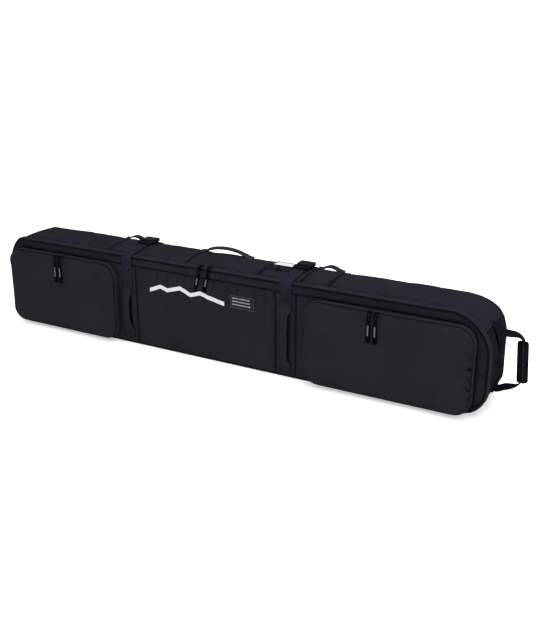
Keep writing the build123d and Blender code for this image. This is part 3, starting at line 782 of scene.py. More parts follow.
def cut(obj, low, high):
    """Cut a block out of a closed piece, for good."""
    bpy.ops.mesh.primitive_cube_add()
    block = bpy.context.object
    block.location = [(a + b) / 2 for a, b in zip(low, high)]
    block.scale = [(b - a) / 2 for a, b in zip(low, high)]
    modifier = obj.modifiers.new("cut", "BOOLEAN")
    modifier.object, modifier.operation, modifier.solver = block, "DIFFERENCE", "MANIFOLD"
    graph = bpy.context.evaluated_depsgraph_get()
    mesh = bpy.data.meshes.new_from_object(obj.evaluated_get(graph), depsgraph=graph)
    obj.modifiers.clear()
    obj.data = mesh
    bpy.data.objects.remove(block)
    return obj


def back_sheet():
    """The large back panel."""
    nx, nz = ((150, 20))
    points = skin(BAG.sides(nx, nz), np.array([0.999, 1.0]))[:, 1]
    points[:, 1] = BACK_Y - SINK
    inward = np.cross(unit(np.roll(points, -1, 0) - np.roll(points, 1, 0)), (0, 1, 0))
    return disc_sheet([points + inward * d for d in EDGE_STEPS], EDGE_STEPS, nx, nz, flip=True)


tub_panels = []
for number, (s0, s1) in enumerate(zip(TOP_AT, [*TOP_AT[1:], CORNER_AT])):
    first, last = number == 0, number == len(TOP_AT) - 1
    tub_panels.append(TubPanel(f"top_length_{number + 1}", "top_panels", s0, s1, first, last))
tub_panels.append(TubPanel("right_end_cloth", "right_end_panel", CORNER_AT, FOOT_RIGHT_AT))
bottom = TubPanel("bottom_cloth", "bottom_panel", FOOT_RIGHT_AT, FOOT_LEFT_AT)
left_end = TubPanel("left_end_cloth", "left_end_panel", FOOT_LEFT_AT, BAG.total + TOP_AT[0], plain_end=True)
tub_panels += [bottom, left_end]
back = back_sheet()

# ---- Lid: shoulder, middle panel and strap panels, on a padded base ----------------------
LID_FACE = FRONT_Y - 0.0002
SEAM_Z, LID_FOOT_Z = 0.262, 0.004


class Pocket:
    """One pocket's box, its outline and the depth of its zip, from its CAD cover."""

    def __init__(self, side):
        (self.x0, self.front, self.z0), (self.x1, self.zip_y, self.z1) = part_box(f"{side}_pocket_cover")
        self.walk = box_walk(self.x0, self.x1, self.z0, self.z1, POCKET_R)


POCKETS = {side: Pocket(side) for side in STRAPS}
INNER = box_walk(POCKETS["left"].x0, POCKETS["right"].x1, POCKETS["left"].z0, SEAM_Z, POCKET_R)


def shoulder_sheet():
    """The strip of cloth between the main zip and the pockets, down both ends."""
    part = np.linspace(-0.93, 1.93, 330)
    outer = rim(BAG.leg(part), LID_FACE, -0.0080)
    x, z, _, _ = INNER.at(INNER.leg(part))
    inner = points_at(x, LID_FACE, z)
    u, v = lengths((outer + inner) / 2), refined(0.032)
    share = (v / v[-1])[None, :, None]
    points = outer[:, None] * (1 - share) + inner[:, None] * share
    sheet = grid_sheet(points[:, ::-1], u, v)
    return sheet.hold(near_straps(sheet.verts) & (sheet.verts[:, 2] > 0.2))


def face_sheet(x0, x1, z0=LID_FOOT_Z, z1=SEAM_Z):
    """A rectangular panel on the lid's face."""
    u, v = refined(x1 - x0), refined(z1 - z0)
    return grid_sheet(points_at((x0 + u)[:, None], LID_FACE, z0 + v), u, v)


PANEL_SEAMS = (-0.420, -0.300, 0.198, 0.264, 0.350)
shoulder = shoulder_sheet()
left, middle, right, beside = (face_sheet(x0, x1) for x0, x1 in zip(PANEL_SEAMS, PANEL_SEAMS[1:]))
strap_panels = {"left_strap_panel": left, "right_strap_panel": right, "right_side_panel": beside}

# ---- Pockets -----------------------------------------------------------------------------
COVER_ROUND = 0.013
COVER_SINK = COVER_PUFF = 0.0040  # the cover's plane lies this deep, and swells no further than this


def cover_sheet(pocket):
    """Front of a pocket, with its rounded edge back to the zip."""
    nx, nz = ((100, 56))
    loop, outward = pocket.walk.loop(nx, nz)
    start = pocket.zip_y - 0.0016
    depth = start - pocket.front - COVER_SINK
    rings, edge = [], []
    for angle in np.radians((0, 8, 18, 30, 44, 58, 72, 90)):
        ring = loop - outward * (0.0008 + COVER_ROUND * (1 - math.cos(angle)))
        ring[:, 1] = start - depth * math.sin(angle)
        rings.append(ring)
        edge.append(COVER_ROUND * angle)
    sheet = disc_sheet(rings, edge, nx, nz)
    sheet.free = sheet.edge > edge[1] + 1e-6
    return sheet


covers = {side: cover_sheet(pocket) for side, pocket in POCKETS.items()}

# ---- One simulation for every padded panel: pressure, slack and cap ----------------------
for panel in tub_panels:
    panel.sheet.hold(near_straps(panel.sheet.verts) & (panel.sheet.verts[:, 2] > 0.2))
back.hold(near_straps(back.verts))
swelling = [(panel.sheet, 2.0, 0.006, 0.005) for panel in tub_panels if panel is not bottom]
swelling += [(back, 2.0, 0.004, 0.006), (shoulder, 2.0, 0.010, 0.004), (middle, 1.5, 0.006, 0.006)]
swelling += [(sheet, 0.6, 0.002, 0.0012) for sheet in strap_panels.values()]
swelling += [(sheet, 2.5, 0.010, 0.007) for sheet in covers.values()]
relax(swelling)

# ---- Tub pieces --------------------------------------------------------------------------
for number, panel in enumerate(tub_panels):
    obj = panel.finish(seed=10 + 2 * number)
    if panel is left_end:
        cut(obj, *HOUSING_CUT)
    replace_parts(obj, panel.node)
    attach(obj, "shell")
    if panel is not bottom:
        plain = {"top_length_1": ["end"], "left_end_cloth": ["start"]}
        topstitch("shell", panel.sheet, plain.get(panel.name, ["start", "end"]) + ["low", "high"])

back.push(0.0010 * back.calm(0.03) * waves(back.verts, 0.22, seed=41)).roll(0.0042, 0.0055)
back_lining = back.verts.copy()
back_lining[:, 1] = BACK_Y - WALL
back_piece = cut(back.close("back_cloth", back_lining, FABRIC, LINING), *HOUSING_CUT)
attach(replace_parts(back_piece, "back_panel"), "shell")


# ---- Lid pieces --------------------------------------------------------------------------
def lid_base():
    """The lid's padded base, with its lining, under the panels sewn on its face."""
    nx, nz = ((110, 18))
    outward = BAG.loop(nx, nz)[1]
    insets, depths = (0, 0.001, 0.004, 0.010), (0.0045, 0.0022, 0.0012, 0.0012)
    rings = [rim(BAG.sides(nx, nz), FRONT_Y + y) - outward * inset for inset, y in zip(insets, depths)]
    base = disc_sheet(rings, insets, nx, nz)
    lining = base.verts.copy()
    lining[:, 1] = LID_BACK_Y - 0.0006 - 0.0012 * (1 - base.calm(0.006))
    lining[:, 1] += 0.0006 * waves(base.verts, 0.12, seed=51) * base.calm(0.03)
    # Its outside takes the near-black coil colour: painted shade, where the base shows in the grooves between
    # the lid's panels and the zip band.
    return base.close("lid_base", lining, COIL, LINING, "lid")


base_piece = lid_base()
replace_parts(base_piece, "lid_panel")


def face_piece(sheet, name, seed, unevenness=0.0006):
    """A padded panel sewn on the lid's base."""
    sheet.push(unevenness * sheet.calm(0.02) * waves(sheet.verts, 0.07, seed)).roll(0.0036, 0.0050)
    inner = sheet.verts.copy()
    inner[:, 1] = FRONT_Y + 0.0026
    obj = sheet.close(name, inner, LID_CLOTH, LID_CLOTH, "lid")
    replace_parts(obj, "lid_panel")
    return obj


def top_gathers(sheet, seed, reach=0.060, height=0.0020, pitch=0.034):
    """Small upright gathers under a panel's top seam, fading downwards, with painted shade in their hollows.
    """
    x, _, z = sheet.verts.T
    phase = 2 * math.pi * x / pitch + 1.6 * waves(sheet.verts * (1, 0, 0), 0.06, seed)
    fade = np.exp((z - SEAM_Z) / reach) * sheet.calm(0.008)
    sheet.painted_crease_shade = 0.35 * fade * np.maximum(-np.sin(phase), 0) ** 2
    return sheet.push(height * fade * np.sin(phase))


top_gathers(middle, seed=61)
face_piece(shoulder, "lid_shoulder", seed=62, unevenness=0.0008)
face_piece(middle, "lid_middle", seed=63)
topstitch("lid", shoulder, ["low", "high"])
topstitch("lid", middle, ["start", "end", "high"])
for number, (name, sheet) in enumerate(strap_panels.items()):
    face_piece(sheet, name, seed=65 + number)
for side, pocket in POCKETS.items():
    sheet = face_sheet(pocket.x0 + 0.010, pocket.x1 - 0.010, pocket.z0 + 0.010, pocket.z1 - 0.010)
    under = sheet.verts + (0, 0.0028, 0)
    pocket_lining = sheet.close(f"{side}_pocket_lining", under, LINING, LINING, "lid")
    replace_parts(pocket_lining, "lid_panel")


# ---- Pocket pieces -----------------------------------------------------------------------
def gusset_section(zip_y):
    """Closed cross-section of a pocket's side wall, as (outward, y)."""
    base = FRONT_Y + 0.0004
    depth = base - zip_y - 0.0016
    bulge = [(0.0030 * math.sin(math.pi * k / 12) ** 0.6 - 0.0012, base - depth * k / 12) for k in range(13)]
    return bulge + [(-0.0045, zip_y + 0.0012), (-0.0062, zip_y + 0.0006), (-0.0062, base)]


def puckers(sheet, side, seed):
    """Short gathers along a cover's edges, deepest on the right pocket's lower right edge, where their
    hollows also get painted shade.
    """
    x, _, z = sheet.verts.T
    away = np.clip((sheet.edge - 0.002) / 0.004, 0, 1) * np.exp(-np.maximum(sheet.edge - 0.009, 0) / 0.009)
    right = np.clip((x - POCKETS[side].x1 + 0.05) / 0.03, 0, 1) * np.clip((0.205 - z) / 0.04, 0, 1)
    strength = 0.0004 + (0.0024 if side == "right" else 0.0008) * right
    phase = 2 * math.pi * np.where(right > 0.3, z, x) / 0.024
    phase += 2.6 * waves(sheet.verts * (1, 0, 1), 0.05, seed)
    fold = (0.5 + 0.5 * np.sin(phase)) ** 3
    if side == "right":
        sheet.painted_crease_shade = 0.9 * away * right * fold**2
    return sheet.push(-2 * strength * away * fold)


for number, (side, sheet) in enumerate(covers.items()):
    pocket = POCKETS[side]
    loop, outward = pocket.walk.loop(90, 44)
    sections = {
        "wall": (gusset_section(pocket.zip_y), LID_CLOTH),
        "coil": (circle(-0.0062, pocket.zip_y, 0.0013, 0.0013, 45), COIL),
        # The welt takes the light zip-tape colour as painted highlight, for the light its rounded front
        # catches.
        "welt": (circle(0.0004, pocket.zip_y + 0.0034, 0.0019, 0.0022, 30), TAPE),
    }
    for part, (section, material) in sections.items():
        ring = sweep_ring(f"{side}_pocket_{part}", loop, outward, section, material, "lid")
        if part == "wall":
            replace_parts(ring, f"{side}_pocket_gusset")
    broad, fine = waves(sheet.verts, 0.20, seed=71 + number), waves(sheet.verts, 0.07, seed=81 + number)
    sheet.push(sheet.calm(0.05) * (0.0016 * broad + 0.0005 * fine))
    puckers(sheet, side, seed=91 + number)
    out = np.maximum(pocket.front + COVER_SINK - sheet.verts[:, 1], 0)
    sheet.verts[:, 1] += out - COVER_PUFF * np.tanh(out / COVER_PUFF)
    inner = sheet.verts - 0.004 * quad_normals(sheet.verts, sheet.faces)
    inner[:, 1] = np.minimum(inner[:, 1], pocket.zip_y - 0.0010)
    inner[:, 1] = np.where(sheet.edge > 0.012, pocket.front + 0.0095, inner[:, 1])
    cover = sheet.close(f"{side}_pocket_front", inner, LID_CLOTH, LINING, f"{side}_pocket")
    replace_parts(cover, f"{side}_pocket_cover")

# ---- Main zip ----------------------------------------------------------------------------
ZIP_END_Z = 0.020
zip_start, zip_end = (BAG.where(x, ZIP_END_Z) for x in (-HALF + 0.05, HALF - 0.05))
zip_s = np.linspace(zip_start, BAG.total + zip_end, 700)
for name, y, width, node, body in (
    ("lid_zip_band", -0.0819, 0.0056, "lid_zip_tape", "lid"),
    ("body_zip_band", -0.0706, 0.0076, "body_zip_tape", "shell"),
):
    puff = 0.0050 + 0.0005 * waves(rim(zip_s, y), 0.05, seed=15)
    band = ribbon(name, rim(zip_s, y, -0.0013), (0, 1, 0), width, puff, TAPE, body, 0.85, seed=5, wave=0.0002)
    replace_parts(band, node)

backing_and_painted_shadow = ribbon("rim_tape", rim(zip_s, -0.0693, -0.0060), (0, 1, 0), 0.0146, 0.0016, COIL, "shell", 0.3)
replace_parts(backing_and_painted_shadow, "body_zip_tape")


# ---- Straps and their buckles ------------------------------------------------------------
def over_top(x, y0, y1, lift, every=1):
    """Points across the top of the bag at x between two depths, raised off the cloth."""
    at = CREST[(CREST[:, 0] >= y0) & (CREST[:, 0] <= y1) & (CREST[:, 1] > BACK_TOP - 0.001)]
    steps = unit(np.gradient(at, axis=0))
    raised = at + lift * np.stack([-steps[:, 1], steps[:, 0]], 1)
    return [(x, y, z) for y, z in raised[::every]]


def round_foot(x, lift, count=8):
    """Points round the bag's back foot at x."""
    angles = np.radians(np.linspace(0, 90, count))
    return [(x, BACK_Y - FOOT_R + (FOOT_R + lift) * math.cos(a), FOOT_R - (FOOT_R - lift) * math.sin(a))
            for a in angles]


LID_STRAP_FOOT = {"left": 0.228, "right": 0.246}
STRAP_LIFT, FOOT_LIFT = 0.0011, 0.0012  # middle of the webbing above the cloth, and above the floor
for side, x in STRAPS.items():
    low = LID_STRAP_FOOT[side]
    path = [(x, FRONT_Y + y, z) for y, z in ((-0.0020, low), (-0.0023, low + 0.03), (-0.0026, 0.276),
                                             (-0.0022, 0.2890), (0.0014, 0.2950), (0.0080, 0.2964),
                                             (0.0170, 0.2972))]
    path += over_top(x, -0.060, -0.010, 0.0024, 4) + [(x, -0.0022, 0.3072)]
    strap = ribbon(f"{side}_upper_strap", spline(path), (1, 0, 0), 2 * STRAP_HALF, 0.0018, WEBBING, "lid",
                   0.25, seed=3, wave=0.0002)
    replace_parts(strap, f"{side}_lid_strap")
    path = over_top(x, 0.030, BACK_Y, STRAP_LIFT, 5) + [(x, BACK_Y + STRAP_LIFT, z) for z in (0.215, 0.12)]
    path += round_foot(x, STRAP_LIFT) + [(x, y, FOOT_LIFT) for y in (0.05, -0.02, -0.0755)]
    strap = ribbon(f"{side}_lower_strap", spline(path, 0.004), (1, 0, 0), 2 * STRAP_HALF, 0.0020, WEBBING,
                   "shell", 0.25)
    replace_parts(strap, f"{side}_rear_strap")


def finish_cad(node, material, edge):
    """Material and small edge rounding on a CAD part that is shown as it is."""
    obj = next(o for o in bpy.data.objects if o.get("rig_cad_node") and o.name == node)
    obj.data.materials.clear()
    obj.data.materials.append(material)
    modifier = obj.modifiers.new("edge", "BEVEL")
    modifier.width, modifier.segments, modifier.limit_method = edge, 2, "ANGLE"
    modifier.angle_limit = math.radians(35)


for side in STRAPS:
    for part in ("frame", "socket", "prong_a", "prong_b"):
        finish_cad(f"{side}_buckle_{part}", BUCKLE, 0.0004)
for place in ("main", "left_pocket", "right_pocket"):
    for letter in "ab":
        finish_cad(f"{place}_slider_{letter}", SLIDER, 0.0003)
for wheel in ("lower", "upper"):
    finish_cad(f"{wheel}_wheel_hub", HUB, 0.0005)
    finish_cad(f"{wheel}_wheel_tyre", TYRE, 0.0008)
finish_cad("document_slider", SLIDER, 0.0003)
finish_cad("housing_rivets", STEEL, 0.0002)
finish_cad("wheel_housing", HOUSING, 0.0008)
finish_cad("wheel_axles", STEEL, 0.0003)
finish_cad("wheel_bushes", HUB, 0.0003)
finish_cad("inner_strap_buckles", BUCKLE, 0.0004)
finish_cad("id_window", CARD, 0.0005)


def top_z(y):
    """Height of the designed top at depth y."""
    return np.interp(y, CREST[:, 0], CREST[:, 1])


def along_top(name, x0, x1, y, width, thick, lift, material, node):
    """A flat strip along X on the top of the bag."""
    line = points_at(np.linspace(x0, x1, 24), y, top_z(y) + lift)
    slope = (top_z(y + 0.004) - top_z(y - 0.004)) / 0.008
    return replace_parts(ribbon(name, line, (0, 1, slope), width, thick, material, "shell", 0.4), node)


(x0, y0, _), (x1, y1, _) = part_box("document_zip")
document_y = (y0 + y1) / 2
along_top("document_tape", x0, x1, document_y, y1 - y0, 0.0012, 0.0008, FABRIC, "document_zip")
along_top("document_coil", x0 + 0.004, x1 - 0.004, document_y, 0.0085, 0.0014, 0.0013, COIL, "document_zip")
(x0, y0, _), (x1, y1, _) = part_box("id_frame")
BINDING = 0.007
for number, y in enumerate((y0 + BINDING / 2, y1 - BINDING / 2)):
    along_top(f"window_binding_{number + 1}", x0, x1, y, BINDING, 0.0012, 0.0014, DULL_WEBBING, "id_frame")
for number, x in enumerate((x0 + BINDING / 2, x1 - BINDING / 2)):
    line = spline(over_top(x, y0 + 0.003, y1 - 0.003, 0.0014))
    name = f"window_binding_{number + 3}"
    binding = ribbon(name, line, (1, 0, 0), BINDING, 0.0012, DULL_WEBBING, "shell", 0.4)
    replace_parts(binding, "id_frame")


# ---- Handles -----------------------------------------------------------------------------
def narrowed(path, ends, middle, flat):
    """Widths of a strap that is flat near its ends and folded narrow between them."""
    along = lengths(path)
    share = np.clip((np.minimum(along, along[-1] - along) - flat) / 0.03, 0, 1)
    return ends + (middle - ends) * share * share * (3 - 2 * share)


def mirrored(half, axis, middle, *between):
    """Half of a symmetric path, the points between, and the half's mirror image across an axis."""
    image = np.array(half, float)[::-1]
    image[:, axis] = 2 * middle - image[:, axis]
    return [*half, *between, *image.tolist()]


FRONT_HANDLES = {"left": (-0.333, 0.022, 0.208), "right": (0.2315, 0.012, 0.240)}
for side, (x, z0, z1) in FRONT_HANDLES.items():
    y, middle_z = FRONT_Y - 0.0022, (z0 + z1) / 2
    half = [(x, y, z1), (x, y, z1 - 0.022), (x, y - 0.0085, z1 - 0.050), (x, y - 0.0125, middle_z + 0.02)]
    path = spline(mirrored(half, 2, middle_z))
    width, thick = narrowed(path, 0.038, 0.021, 0.024), narrowed(path, 0.0018, 0.0042, 0.024)
    handle = ribbon(f"{side}_upright_handle", path, (1, 0, 0), width, thick, DULL_WEBBING, "lid", 0.3)
    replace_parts(handle, f"{side}_front_handle")
    # Painted shadow: a near-black strip on the panel under each handle, seen in the gap beside the handle's
    # narrowed middle.
    flat = path * (1, 0, 1) + (0, FRONT_Y - 0.0019, 0)
    backing_and_painted_shadow = ribbon(f"{side}_handle_backing", flat, (1, 0, 0), width + 0.004, 0.0009, COIL, "lid", 0.3)
    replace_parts(backing_and_painted_shadow, f"{side}_front_handle")

GRAB_X, GRAB_Y = -0.043, 0.043
half = [(x, GRAB_Y, z) for x, z in ((-0.137, 0.3040), (-0.122, 0.3052), (-0.108, 0.3110), (-0.080, 0.3190))]
path = spline(mirrored(half, 0, GRAB_X, (GRAB_X, GRAB_Y, 0.3222)))
grab = ribbon("grab_webbing", path, (0, 1, 0.12), narrowed(path, 0.026, 0.0150, 0.014),
              narrowed(path, 0.0022, 0.0082, 0.014), GRAB_WEBBING, None, 0.4)
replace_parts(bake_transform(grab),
            "centre_handle", "centre_handle_tabs")

SIDE_Y = 0.066
for number, (x0, x1) in enumerate(((-0.446, -0.361), (0.260, 0.345))):
    middle_x = (x0 + x1) / 2
    half = [(x0, SIDE_Y, 0.2986), (x0 + 0.012, SIDE_Y, 0.2990), (x0 + 0.026, SIDE_Y, 0.3052)]
    path = spline(mirrored(half, 0, middle_x, (middle_x, SIDE_Y, 0.3088)))
    name = f"side_webbing_{number + 1}"
    handle = ribbon(name, path, (0, 1, 0.2), 0.021, 0.0024, DULL_WEBBING, "shell", 0.3)
    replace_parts(handle, "side_handles")

TOW_Y = 0.008
tow_line = ((0.800, 0.2415), (0.818, 0.2320), (0.836, 0.2230), (0.852, 0.2215), (0.868, 0.2210),
            (0.882, 0.2160), (0.8895, 0.2030), (0.8875, 0.180), (0.8925, 0.115), (0.8905, 0.0900),
            (0.8800, 0.0780), (0.8670, 0.0730), (0.850, 0.0680), (0.836, 0.0610), (0.822, 0.0560),
            (0.8215, 0.0480))
tow_path = spline([(x, TOW_Y, z) for x, z in tow_line])
turned = np.clip((0.884 - tow_path[:, :1]) / 0.03, 0, 1)
tow_across = np.array((0, 1, 0)) * (1 - 0.45 * turned) + np.array((0.1, 0, 0.75)) * turned
tow = ribbon("tow_webbing", tow_path, tow_across, 0.0205, 0.0030, TOW_WEBBING, None, 0.4, seed=9, wave=0.0004)
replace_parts(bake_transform(tow), "tow_handle")

GRIP_X, GRIP_LOW, GRIP_HIGH, GRIP_LEAN, GRIP_R = 0.890, 0.093, 0.203, 0.07, 0.0150
LAP_ANGLE, LAP_R = -1.25, 0.0168  # place of the sleeve's lapped edge, round the grip's middle


def grip_x(z):
    """Middle of the leaning grip at height z."""
    return GRIP_X + GRIP_LEAN * ((GRIP_LOW + GRIP_HIGH) / 2 - z)


def rolled_grip():
    """Padded sleeve rolled round the tow webbing, open at both ends and lapped at the outside."""
    around = 56
    z = np.linspace(GRIP_LOW, GRIP_HIGH, 40)
    soft = 0.0010 * (1 - np.clip(np.minimum(z - GRIP_LOW, GRIP_HIGH - z) / 0.004, 0, 1)) ** 2
    a = 2 * math.pi * np.arange(around) / around
    lap = 0.0016 * np.clip(1 - ((a - LAP_ANGLE) % (2 * math.pi)) / 1.1, 0, 1)
    outer = GRIP_R + lap + 0.0006 * np.sin(3 * a + 1) - soft[:, None]
    inner = 0.0108 + soft[::-1, None] + 0 * a
    radius, height = np.concatenate([outer, inner]), np.concatenate([z, z[::-1]])[:, None]
    verts = points_at(grip_x(height) + radius * np.cos(a), TOW_Y + radius * np.sin(a), height).reshape(-1, 3)
    uv = np.stack([np.tile(a * GRIP_R, 2 * len(z)), verts[:, 2]], 1)
    faces = ring_faces(2 * len(z), around, closed=True)
    return piece("tow_sleeve", verts, faces, FOAM, "tow_handle", uv)


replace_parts(rolled_grip(), "tow_grip")
z = np.linspace(GRIP_LOW + 0.001, GRIP_HIGH - 0.001, 30)
lap_out, lap_along = math.cos(LAP_ANGLE), math.sin(LAP_ANGLE)
lap = points_at(grip_x(z) + LAP_R * lap_out, TOW_Y + LAP_R * lap_along, z)
ribbon("sleeve_piping", lap, (-lap_along, lap_out, 0), 0.0030, 0.0016, DULL_WEBBING, "tow_handle", 0.6)

x, z, out, up = BAG.at(np.linspace(CORNER_AT - 0.004, BAG.where(HALF, 0.045), 60))
path = points_at(x + 0.0016 * out, TOW_Y, z + 0.0016 * up)
anchor = ribbon("tow_patch", path, (0, 1, 0), 2 * STRAP_HALF, 0.0018, TOW_WEBBING, "shell", 0.25,
                seed=10, wave=0.0002)
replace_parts(anchor, "tow_anchor")


# ---- Zip pulls ---------------------------------------------------------------------------
def moulded_grip(name, x, y, top, low, lean, body):
    """Ribbed grip of a pull: narrow at the cord, with a round end."""
    z = np.linspace(top, low, 64)
    share = (top - z) / (top - low)
    broad = np.clip(share / 0.30, 0, 1)
    end = np.sqrt(np.clip(1 - np.clip((share - 0.93) / 0.07, 0, 1) ** 2, 0.05, 1))
    ribs = 0.00035 * ((share > 0.30) & (share < 0.86) & (np.sin(share * 2 * math.pi * 11) > 0))
    half = ((0.0036 + 0.0028 * broad) * end + ribs)[:, None]
    deep = ((0.0019 + 0.0007 * broad) * end + ribs)[:, None]
    wide, high = rounded(20, 0.6, 0.6)
    verts = points_at(x - lean * (top - z)[:, None] + wide * half, y + high * deep, z[:, None])
    return piece(name, verts.reshape(-1, 3), ring_faces(len(z), 20), PULL, body)


def zip_pull(node, x, y, top, length, lean=0.0):
    """A whole pull: a loop of twisted cord through the slider, and a moulded grip with a grey strip as
    painted highlight.

    It hangs to the left by its lean, a share of its length.
    """
    low, cord_length = top - length, 0.024
    half = [(0.0008, 0.0006, 0.0014), (0.0036, 0, -0.004), (0.0040, 0, -0.012), (0.0020, 0, -0.026)]
    loop = spline(half, 0.0010)
    cord = np.concatenate([(loop * (-1, 1, 1))[::-1], loop[1:]])
    cord[:, 0] += lean * np.minimum(cord[:, 2], 0)
    twist = 0.0016 + 0.0003 * np.sin(lengths(cord) * 2 * math.pi / 0.0035)
    cord = tube(f"{node}_loop", cord + (x, y, top), twist, PULL, node)
    grip = moulded_grip(f"{node}_grip", x - lean * cord_length, y, top - cord_length, low, lean, node)
    # Painted highlight: a grey strip down the grip.
    z = np.linspace(top - 0.036, low + 0.022, 14)
    line = points_at(x - lean * (top - z), y - 0.0024, z)
    painted_highlight = ribbon(f"{node}_insert", line, (1, 0, 0), 0.0048, 0.0014, PULL_HIGHLIGHT_AND_LABEL_BORDER, node, 0.5)
    for part in (cord, grip, painted_highlight):
        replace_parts(part, node)


for letter, x in (("a", -0.058), ("b", -0.026)):
    zip_pull(f"main_pull_{letter}", x, y=-0.0890, top=0.2962, length=0.080, lean=0.22)
for side, places in (("left", (-0.591, -0.571)), ("right", (0.504, 0.524))):
    for letter, x in zip("ab", places):
        zip_pull(f"{side}_pocket_pull_{letter}", x, y=-0.1284, top=0.2620, length=0.088)


# ---- Mark and label ----------------------------------------------------------------------
def face_y(x, z):
    """Depth of the swollen middle panel under a point of the lid's plane."""
    gap = (x - middle.verts[:, 0]) ** 2 + (z - middle.verts[:, 2]) ** 2
    near = np.argpartition(gap, 4)[:4]
    return np.average(middle.verts[near, 1], weights=1 / (gap[near] + 1e-7))


def printed_blocks(name, blocks, height, material):
    """Thin raised blocks that lie on the middle panel, as one piece.

    A block is a row of stations along X, each with its lowest and highest Z.
    """
    verts, faces = [], []
    for stations in blocks:
        faces += [[len(verts) + k for k in face] for face in ring_faces(len(stations), 4)]
        for x, low, high in stations:
            y_low, y_high = face_y(x, low), face_y(x, high)
            verts += [(x, y_low - height, low), (x, y_high - height, high), (x, y_high + 0.0012, high),
                      (x, y_low + 0.0012, low)]
    return piece(name, verts, faces, material, "lid", smooth=False)


def plain_block(x0, x1, low, high, step=0.006):
    """Stations of a rectangular block."""
    return [(x, low, high) for x in np.linspace(x0, x1, max(2, int((x1 - x0) / step) + 2))]


MARK_X0, MARK_X1, MARK_LOW, MARK_HIGH, MARK_BAND = -0.243, 0.027, 0.188, 0.224, 0.0125
RIDGE = ((0.00, 0.05), (0.15, 0.75), (0.24, 0.40), (0.42, 1.0), (0.56, 0.35), (0.68, 0.80), (0.80, 0.45),
         (1.00, 0.0))
share = np.unique(np.concatenate([np.linspace(0, 1, 90), [place for place, _ in RIDGE]]))
foot = MARK_LOW + (MARK_HIGH - MARK_LOW - MARK_BAND) * np.interp(share, *zip(*RIDGE))
x = MARK_X0 + (MARK_X1 - MARK_X0) * share
printed_blocks("ridge_mark", [list(zip(x, foot, foot + MARK_BAND))], 0.0007, PRINT)

(x0, _, z0), (x1, _, z1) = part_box("label_patch")
patch = printed_blocks("sewn_label", [plain_block(x0, x1, z0, z1)], 0.0008, PATCH)
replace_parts(patch, "label_patch")
BORDER = 0.0008
borders = [plain_block(x0, x1, z1 - BORDER, z1), plain_block(x0, x1, z0, z0 + BORDER),
           plain_block(x0, x0 + BORDER, z0, z1), plain_block(x1 - BORDER, x1, z0, z1)]
printed_blocks("label_border", borders, 0.0011, PULL_HIGHLIGHT_AND_LABEL_BORDER)
rng = np.random.default_rng(100)
rows = []
for row in range(3):
    top, x = z1 - 0.0065 - 0.0095 * row, x0 + 0.006
    while x < x1 - 0.014:
        size = rng.uniform(0.004, 0.009)
        rows.append(plain_block(x, x + size, top - 0.0030, top))
        x += size + 0.0016
printed_blocks("label_rows", rows, 0.0011, LABEL_PRINT)


# ---- Stitches on webbing -----------------------------------------------------------------
def box_stitch(x, z0, z1, y, half=0.015):
    """A sewn box with a cross on the lid's upright webbing."""
    corners = [(x - half, z0), (x + half, z0), (x + half, z1), (x - half, z1)]
    runs = [*zip(corners, corners[1:] + corners[:1]), *zip(corners[:2], corners[2:])]
    for (xa, za), (xb, zb) in runs:
        stitch("lid", np.linspace((xa, y, za), (xb, y, zb), 12), (0, -1, 0), pitch=0.0034, length=0.0026)


for side, x in STRAPS.items():
    low = LID_STRAP_FOOT[side]
    box_stitch(x, low + 0.004, low + 0.024, FRONT_Y - 0.0031)
for x, z0, z1 in FRONT_HANDLES.values():
    box_stitch(x, z0 + 0.004, z0 + 0.020, FRONT_Y - 0.0032)
    box_stitch(x, z1 - 0.020, z1 - 0.004, FRONT_Y - 0.0032)
sew("shell", "shell_stitches")
sew("lid", "lid_stitches")

# ---- Inside ------------------------------------------------------------------------------
SLEEVE_Y, SLEEVE_WIDTH, INNER_STRAP_Y = 0.11625, 0.030, 0.1106
low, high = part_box("back_battens")
for number, z in enumerate((low.z + SLEEVE_WIDTH / 2, high.z - SLEEVE_WIDTH / 2)):
    line = points_at(np.linspace(low.x, high.x, 160), SLEEVE_Y, z)
    sleeve = ribbon(f"batten_sleeve_{number + 1}", line, (0, 0, 1), SLEEVE_WIDTH, 0.0034, SLEEVE, "shell",
                    0.4, seed=30 + number, wave=0.0002)
    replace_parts(sleeve, "back_battens")
for number, x in enumerate((-0.420, 0.420)):
    path = points_at(x, INNER_STRAP_Y, np.linspace(0.0115, 0.2560, 40))
    strap = ribbon(f"inner_strap_{number + 1}", path, (1, 0, 0), 2 * STRAP_HALF, 0.0013, DULL_WEBBING,
                   "shell", 0.25, seed=12, wave=0.0002)
    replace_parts(strap, "inner_straps")

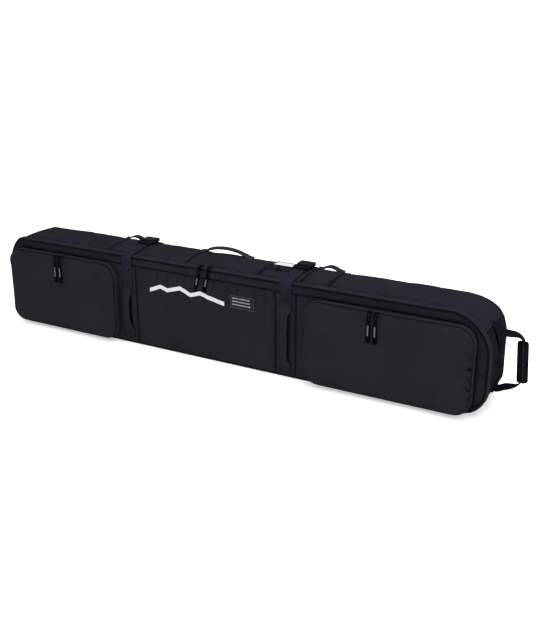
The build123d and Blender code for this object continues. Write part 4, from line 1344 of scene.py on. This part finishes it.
HINGE_FRONT, HINGE_BACK = -0.0845, -0.0632
hinge_line = points_at(np.linspace(-0.730, 0.730, 120), (HINGE_FRONT + HINGE_BACK) / 2, 0.0016)
hinge = ribbon("hinge_cloth", hinge_line, (0, 1, 0), HINGE_BACK - HINGE_FRONT, 0.0012, LINING, None, 0.3)
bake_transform(hinge)
seam_line = points_at(np.linspace(POCKETS["right"].x1 + 0.004, HALF - 0.010, 8), FRONT_Y - 0.0012, 0.128)
ribbon("shoulder_seam", seam_line, (0, 0, 1), 0.0016, 0.0014, COIL, "lid", 0.6)

# ---- Camera, light and floor -------------------------------------------------------------
scene = bpy.context.scene
camera = bpy.data.objects.new("camera", bpy.data.cameras.new("camera"))
scene.collection.objects.link(camera)
camera.location = (1.35349, -2.21233, 1.07591)
camera.rotation_euler = (math.radians(90 - 20.53), 0, math.radians(28.89))
camera.data.lens, camera.data.sensor_width = 50, 36
scene.camera = camera

paper = Shading("floor_paper", (0.93, 0.93, 0.93), 0.9)
paper.tint(paper.noise(paper.position(), 40.0, 2.0), (0.92, 0.92, 0.92), (0.94, 0.94, 0.94))
paper.inputs["Emission Color"].default_value = (1, 1, 1, 1)
paper.inputs["Emission Strength"].default_value = 0.4  # lifts the contact shadow, as on a light table
bpy.ops.mesh.primitive_plane_add(size=900, location=(0, 0, -0.0004))
floor = bpy.context.object
floor.name = "floor"
floor.data.materials.append(paper.material)


def area_light(name, location, target, size, power):
    """A large soft light aimed at a point."""
    light = bpy.data.objects.new(name, bpy.data.lights.new(name, "AREA"))
    scene.collection.objects.link(light)
    light.data.shape, light.data.size, light.data.energy = "DISK", size, power
    light.location = location
    towards = Vector(target) - Vector(location)
    light.rotation_euler = towards.to_track_quat("-Z", "Y").to_euler()


area_light("softbox_top", (0.9, 0.1, 2.5), (0.3, 0, 0.2), 1.8, 34)
world = bpy.data.worlds.new("studio")
world.use_nodes = True
world.node_tree.nodes["Background"].inputs["Color"].default_value = (1, 1, 1, 1)
world.node_tree.nodes["Background"].inputs["Strength"].default_value = 1.25
scene.world = world
scene.view_settings.view_transform = "Standard"

# ---- Scene update ------------------------------------------------------------------------
bpy.context.view_layer.update()
